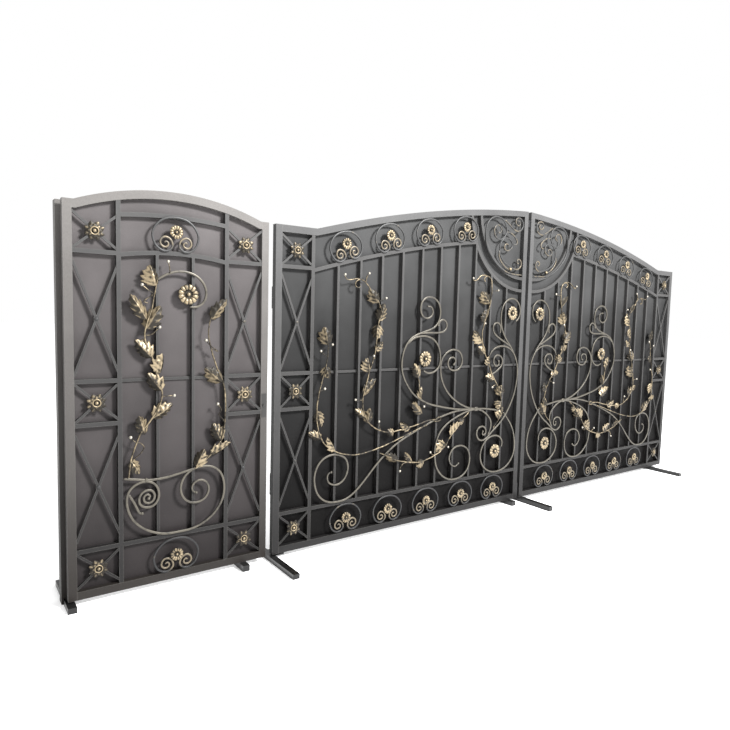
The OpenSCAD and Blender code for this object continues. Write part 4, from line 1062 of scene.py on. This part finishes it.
CORNER_SCROLLS: list[Line] = [
    [[1682, 2146], [1684, 2134], [1698, 2142], [1707, 2160], [1698, 2182], [1675, 2194],
     [1651, 2185], [1637, 2160], [1637, 2133], [1651, 2106], [1680, 2088], [1711, 2090],
     [1738, 2108], [1756, 2137], [1761, 2166], [1752, 2198], [1738, 2222], [1716, 2241],
     [1688, 2252], [1653, 2254], [1612, 2240], [1585, 2216], [1567, 2186], [1558, 2150],
     [1556, 2106], [1561, 2061], [1572, 2025], [1590, 1989], [1617, 1955], [1648, 1921],
     [1689, 1886], [1734, 1860], [1779, 1843], [1824, 1834], [1873, 1830], [1934, 1830]],
    [[1740, 2238], [1762, 2226], [1785, 2210], [1815, 2190], [1842, 2174], [1869, 2168],
     [1896, 2174], [1916, 2191], [1926, 2216], [1922, 2244], [1906, 2264], [1882, 2272],
     [1860, 2266], [1849, 2248], [1853, 2226], [1869, 2213], [1888, 2215], [1897, 2232],
     [1886, 2246], [1872, 2242]],
    [[1779, 2034], [1788, 2047], [1770, 2060], [1750, 2052], [1743, 2030], [1756, 2011],
     [1783, 2009], [1810, 2025], [1824, 2052], [1815, 2083], [1792, 2099], [1765, 2104],
     [1734, 2095], [1711, 2070], [1700, 2043], [1698, 2007], [1705, 1971], [1725, 1939],
     [1752, 1915], [1788, 1894], [1824, 1879], [1860, 1871], [1888, 1873], [1912, 1890],
     [1922, 1916], [1914, 1942], [1896, 1952], [1880, 1943], [1877, 1926], [1889, 1916],
     [1899, 1926]],
    [[1761, 2150], [1792, 2150], [1824, 2137], [1856, 2110], [1872, 2082], [1862, 2064],
     [1838, 2060]],
    [[1698, 2007], [1690, 1975], [1700, 1940], [1725, 1908], [1760, 1880], [1800, 1862]],
]
CORNER_BALLS: Line = [[1804, 1867]]


# ---------------------------------------------------------------- side gate ornament
WICKET_TIPS: Line = [[392, 474], [650, 466], [358, 398]]
WICKET_COLLAR: list[float] = [380, 576]
WICKET_FLOWER: list[float] = [605, 1565]
WICKET_SCROLLS: list[Line] = [
    [[392, 474], [402, 486], [386, 499], [368, 488], [368, 464], [388, 449], [414, 458],
     [424, 488], [408, 516], [372, 518], [346, 492], [346, 452], [376, 428], [416, 432],
     [440, 460], [446, 500], [428, 545], [385, 568], [335, 562], [296, 532], [281, 485],
     [288, 425], [314, 368], [356, 322], [410, 288], [475, 266], [555, 262], [635, 268],
     [712, 300], [770, 352], [806, 420], [812, 495], [792, 560], [748, 600], [692, 612],
     [636, 604], [588, 572], [564, 520], [570, 465], [602, 425], [650, 411], [698, 428],
     [722, 472], [710, 518], [670, 537], [632, 518], [628, 482], [650, 466]],
    [[266, 598], [330, 586], [400, 574], [480, 576], [560, 590], [640, 606]],
    [[290, 512], [318, 462], [345, 402], [362, 400]],
    [[440, 1635], [495, 1668], [550, 1684], [605, 1682], [655, 1662], [692, 1622],
     [705, 1575], [692, 1528], [655, 1500], [610, 1498]],
]
WICKET_STEMS: list[Line] = [
    [[290, 600], [296, 660], [308, 720], [330, 780], [350, 830], [385, 875], [425, 930],
     [455, 990], [462, 1045], [442, 1090], [432, 1140], [425, 1190], [402, 1250],
     [378, 1310], [375, 1360], [388, 1415], [410, 1480], [425, 1560], [440, 1635]],
    [[640, 606], [690, 640], [745, 690], [790, 750], [808, 830], [814, 930], [812, 1010],
     [800, 1080], [778, 1130], [756, 1185], [738, 1240], [722, 1300], [714, 1360],
     [720, 1410], [732, 1450]],
]
WICKET_TWIGS: list[Line] = [
    [[505, 1672], [502, 1705], [495, 1730]],
    [[300, 815], [325, 787], [350, 780], [368, 755], [350, 725], [320, 700], [302, 680]],
    [[525, 1022], [470, 1020], [456, 1010]], [[450, 1388], [410, 1350], [376, 1345]],
    [[768, 960], [790, 925], [775, 900], [800, 870],
                                               [812, 840]],
    [[362, 1605], [393, 1579], [418, 1560], [387, 1535], [371, 1519], [396, 1511]],
    [[700, 1318], [721, 1292], [771, 1254], [731, 1267], [749, 1209]],
]
WICKET_LEAVES: list[list[Any]] = [
    [[300, 690], [345, 615], 65], [[372, 822], [338, 925], 70], [[412, 905], [520, 975], 75],
    [[462, 1050], [385, 1145], 75], [[448, 1140], [462, 1250], 75],
    [[412, 1225], [325, 1320], 75], [[380, 1375], [455, 1500], 85],
    [[385, 1425], [300, 1555], 70], [[430, 1600], [405, 1710], 90],
    [[645, 612], [690, 712], 70], [[728, 668], [845, 735], 65], [[792, 745], [740, 850], 75],
    [[795, 1080], [695, 1165], 80], [[725, 1435], [818, 1550], 75],
]
WICKET_BERRIES: Line = [
    [300, 815], [525, 1022], [450, 1388], [362, 1605], [495, 1732], [768, 960], [700, 1318],
]


@dataclass
class SideGate:
    """Forged work of the side gate."""

    corner: Corner
    width: float
    height: float
    work: ForgedWork = field(default_factory=ForgedWork)
    frame: float = 42.0
    rail: float = 22.0
    band_z: float = 247.0
    mullion: float = 254.0
    rosette_r: float = 50.0
    flower_r: float = 55.0
    ring_flower_r: float = 36.0
    top_flower_up: float = 12.0
    top_ring_down: float = 124.0
    low_ring_down: float = 6.0

    def build(self, maker: Maker) -> None:
        """Makes every forged piece of the side gate."""
        work, body = self.work, "wicket_leaf"
        scale = np.array([self.width, self.height]) / WICKET_GRID
        places = [(self.width / 2, self.height - self.top_ring_down),
                  (self.width / 2, (self.frame + self.band_z) / 2 - self.low_ring_down)]
        rings = [work.ring_bar(roundel_line(x, z, 0.0)) for x, z in places]
        column = (self.frame + self.mullion) / 2
        for z in cross_middles(self.height, self.band_z):
            rings += [work.tie(column, z), work.tie(self.width - column, z)]
        maker.make("wicket_roundel_rings", joined(rings), self.corner, RING_IRON, body,
                   ("wicket_roundels",))
        bars = [work.scroll_bar(line, scale) for line in WICKET_SCROLLS]
        bars += [work.tip_ball(p, scale, 9.0) for p in WICKET_TIPS]
        collar = np.asarray(WICKET_COLLAR) * scale
        bars.append(work.collar(collar[0], collar[1], 22.0, 24.0))
        maker.make("wicket_scroll_bars", joined(bars), self.corner, RUBBED, body,
                   ("wicket_scrolls",))
        vines = [work.stem_bar(line, scale) for line in WICKET_STEMS]
        vines += [work.twig_bar(line, scale) for line in WICKET_TWIGS]
        vines += [work.leaf(spec, scale, k) for k, spec in enumerate(WICKET_LEAVES)]
        maker.make("wicket_vine_work", joined(vines), self.corner, PATINA, body,
                   ("wicket_vines",))
        berries = [work.berry(p, scale) for p in WICKET_BERRIES]
        maker.make("wicket_berries", joined(berries), self.corner, BERRY, body)
        flowers: list[Surface] = []
        x = (self.frame + self.mullion - self.rail / 2) / 2
        for z in square_middles(self.height, self.frame, self.band_z):
            flowers += work.rosette(x, z, self.rosette_r)
            flowers += work.rosette(self.width - x, z, self.rosette_r)
        for (px, pz), lift in zip(places, (self.top_flower_up, 0.0)):
            flowers += work.daisy(px, pz + lift, work.ring_flower_y, self.ring_flower_r)
        x, z = np.asarray(WICKET_FLOWER) * scale
        flowers += work.daisy(x, z, work.flower_y, self.flower_r)
        maker.make("wicket_rosette_work", joined(flowers), self.corner, PATINA, body,
                   ("wicket_rosettes",))


# ---------------------------------------------------------------- studio
@dataclass(frozen=True)
class Studio:
    """Plain pale floor, soft white light and the camera."""

    eye: tuple[float, float, float] = (-1.6972, -3.3261, 1.5129)
    right: tuple[float, float, float] = (0.80816, -0.58839, 0.02585)
    up: tuple[float, float, float] = (0.02736, 0.08135, 0.99631)
    lens: float = 29.59
    shift: float = -0.0151

    def camera(self) -> None:
        """The camera, turned by its right and up directions."""
        data = bpy.data.cameras.new("gate_camera")
        data.lens, data.sensor_width, data.shift_x = self.lens, 36.0, self.shift
        data.clip_end = 200.0
        right, up = Vector(self.right).normalized(), Vector(self.up)
        back = right.cross(up).normalized()
        up = back.cross(right)
        turn = Matrix((right, up, back)).transposed().to_4x4()
        camera = bpy.data.objects.new("gate_camera", data)
        camera.matrix_world = Matrix.Translation(self.eye) @ turn
        bpy.context.scene.collection.objects.link(camera)
        bpy.context.scene.camera = camera

    def floor(self) -> None:
        """A wide white floor, faintly lit from within so that it stays plain and pale."""
        edge = np.array([-1.0, 1.0]) * 60.0
        x, y = np.meshgrid(edge, edge, indexing="ij")
        grid = np.stack([x, y, np.zeros_like(x)], axis=-1).reshape(-1, 3)
        mesh = bpy.data.meshes.new("studio_floor")
        mesh.from_pydata(grid.tolist(), [], [(0, 2, 3, 1)])
        floor = bpy.data.objects.new("studio_floor", mesh)
        mat = bpy.data.materials.new("floor_white")
        mat.use_nodes = True
        shader = mat.node_tree.nodes["Principled BSDF"]
        shader.inputs["Base Color"].default_value = (0.90, 0.90, 0.90, 1.0)
        shader.inputs["Roughness"].default_value = 1.0
        shader.inputs["Specular IOR Level"].default_value = 0.0
        shader.inputs["Emission Color"].default_value = (1.0, 1.0, 1.0, 1.0)
        shader.inputs["Emission Strength"].default_value = 0.22
        mesh.materials.append(mat)
        bpy.context.scene.collection.objects.link(floor)

    def panel(self, name: str, at: tuple[float, float, float], aim: tuple[float, float, float],
              size: tuple[float, float], power: float) -> None:
        """One soft rectangular light aimed at a point."""
        data = bpy.data.lights.new(name, "AREA")
        data.shape, data.size, data.size_y, data.energy = "RECTANGLE", size[0], size[1], power
        lamp = bpy.data.objects.new(name, data)
        turn = (Vector(aim) - Vector(at)).to_track_quat("-Z", "Y")
        lamp.matrix_world = Matrix.Translation(at) @ turn.to_matrix().to_4x4()
        bpy.context.scene.collection.objects.link(lamp)

    def lights(self) -> None:
        """White surroundings and soft panels above and beside the gate."""
        world = bpy.data.worlds.new("studio_world")
        world.use_nodes = True
        back = world.node_tree.nodes["Background"]
        back.inputs["Color"].default_value = (1.0, 1.0, 1.0, 1.0)
        back.inputs["Strength"].default_value = 1.0
        bpy.context.scene.world = world
        self.panel("key_panel", (3.6, -6.4, 6.2), (1.0, 0.0, 1.2), (2.0, 1.6), 3000.0)
        self.panel("top_panel", (1.6, -0.8, 6.0), (1.6, 0.0, 0.0), (7.0, 2.0), 200.0)

    def build(self) -> None:
        """Sets up the whole studio with a plain view."""
        self.camera()
        self.floor()
        self.lights()
        bpy.context.scene.view_settings.view_transform = "Standard"
        LOG.info("studio ready")


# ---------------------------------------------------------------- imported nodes
NODE_FINISH: dict[Finish, tuple[str, ...]] = {
    GRAPHITE: ("hinge_stile", "meeting_stile", "lock_stile", "bottom_rail", "arch_rail",
               "knuckles", "post"),
    BAR_PAINT: ("lattice",),
    SHEET_PAINT: ("left_sheet", "right_sheet"),
    LIT_SIDE_SHEET: ("wicket_sheet",),
    RUBBED: ("roundels", "scrolls"),
    PATINA: ("vines", "rosettes", "flowers"),
    TUBE: ("foot", "feet"),
    SHADED_STRIP: ("closing_strip",),
    STEEL: ("lock",),
}


def node_finish(name: str) -> Finish:
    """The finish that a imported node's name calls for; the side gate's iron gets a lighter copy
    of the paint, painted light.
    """
    match = [finish for finish, ends in NODE_FINISH.items() if name.endswith(ends)]
    return LIT_SIDE_FRAME if match[0] is GRAPHITE and name.startswith("wicket") else match[0]


def paint_nodes(nodes: dict[str, bpy.types.Object], dresser: Dresser) -> None:
    """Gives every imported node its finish.

    Args:
        nodes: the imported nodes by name.
        dresser: the finishes.
    """
    for name, obj in nodes.items():
        finish = node_finish(name)
        dresser.paint(obj, finish)
        LOG.info("%s painted %s", name, finish.name)


def leaf_corner(stile: str, flip: bool) -> Corner:
    """The lower outer front corner of a leaf, from its hinge stile's box."""
    low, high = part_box(stile)
    return Corner(high[0] if flip else low[0], low[1], low[2], flip)


def main() -> None:
    """Builds the gate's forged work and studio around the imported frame."""
    logging.basicConfig(level=logging.INFO, format="%(name)s %(message)s")
    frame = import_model()
    dresser = Dresser()
    maker = Maker(dresser)
    paint_nodes(frame["nodes"], dresser)
    stile_low, stile_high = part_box("left_hinge_stile")
    height = (stile_high[2] - stile_low[2]) / MM
    width = (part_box("left_meeting_stile")[1][0] - stile_low[0]) / MM
    for name, flip in (("left", False), ("right", True)):
        corner = leaf_corner(f"{name}_hinge_stile", flip)
        DrivewayLeaf(name, corner, width, height).build(maker)
    gate_corner = leaf_corner("wicket_hinge_stile", False)
    gate_width = (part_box("wicket_lock_stile")[1][0] - gate_corner.x) / MM
    SideGate(gate_corner, gate_width, height).build(maker)
    Studio().build()
    bpy.context.view_layer.update()
    LOG.info("made %d forged pieces", len(maker.shown))


if __name__ == "__main__":
    main()
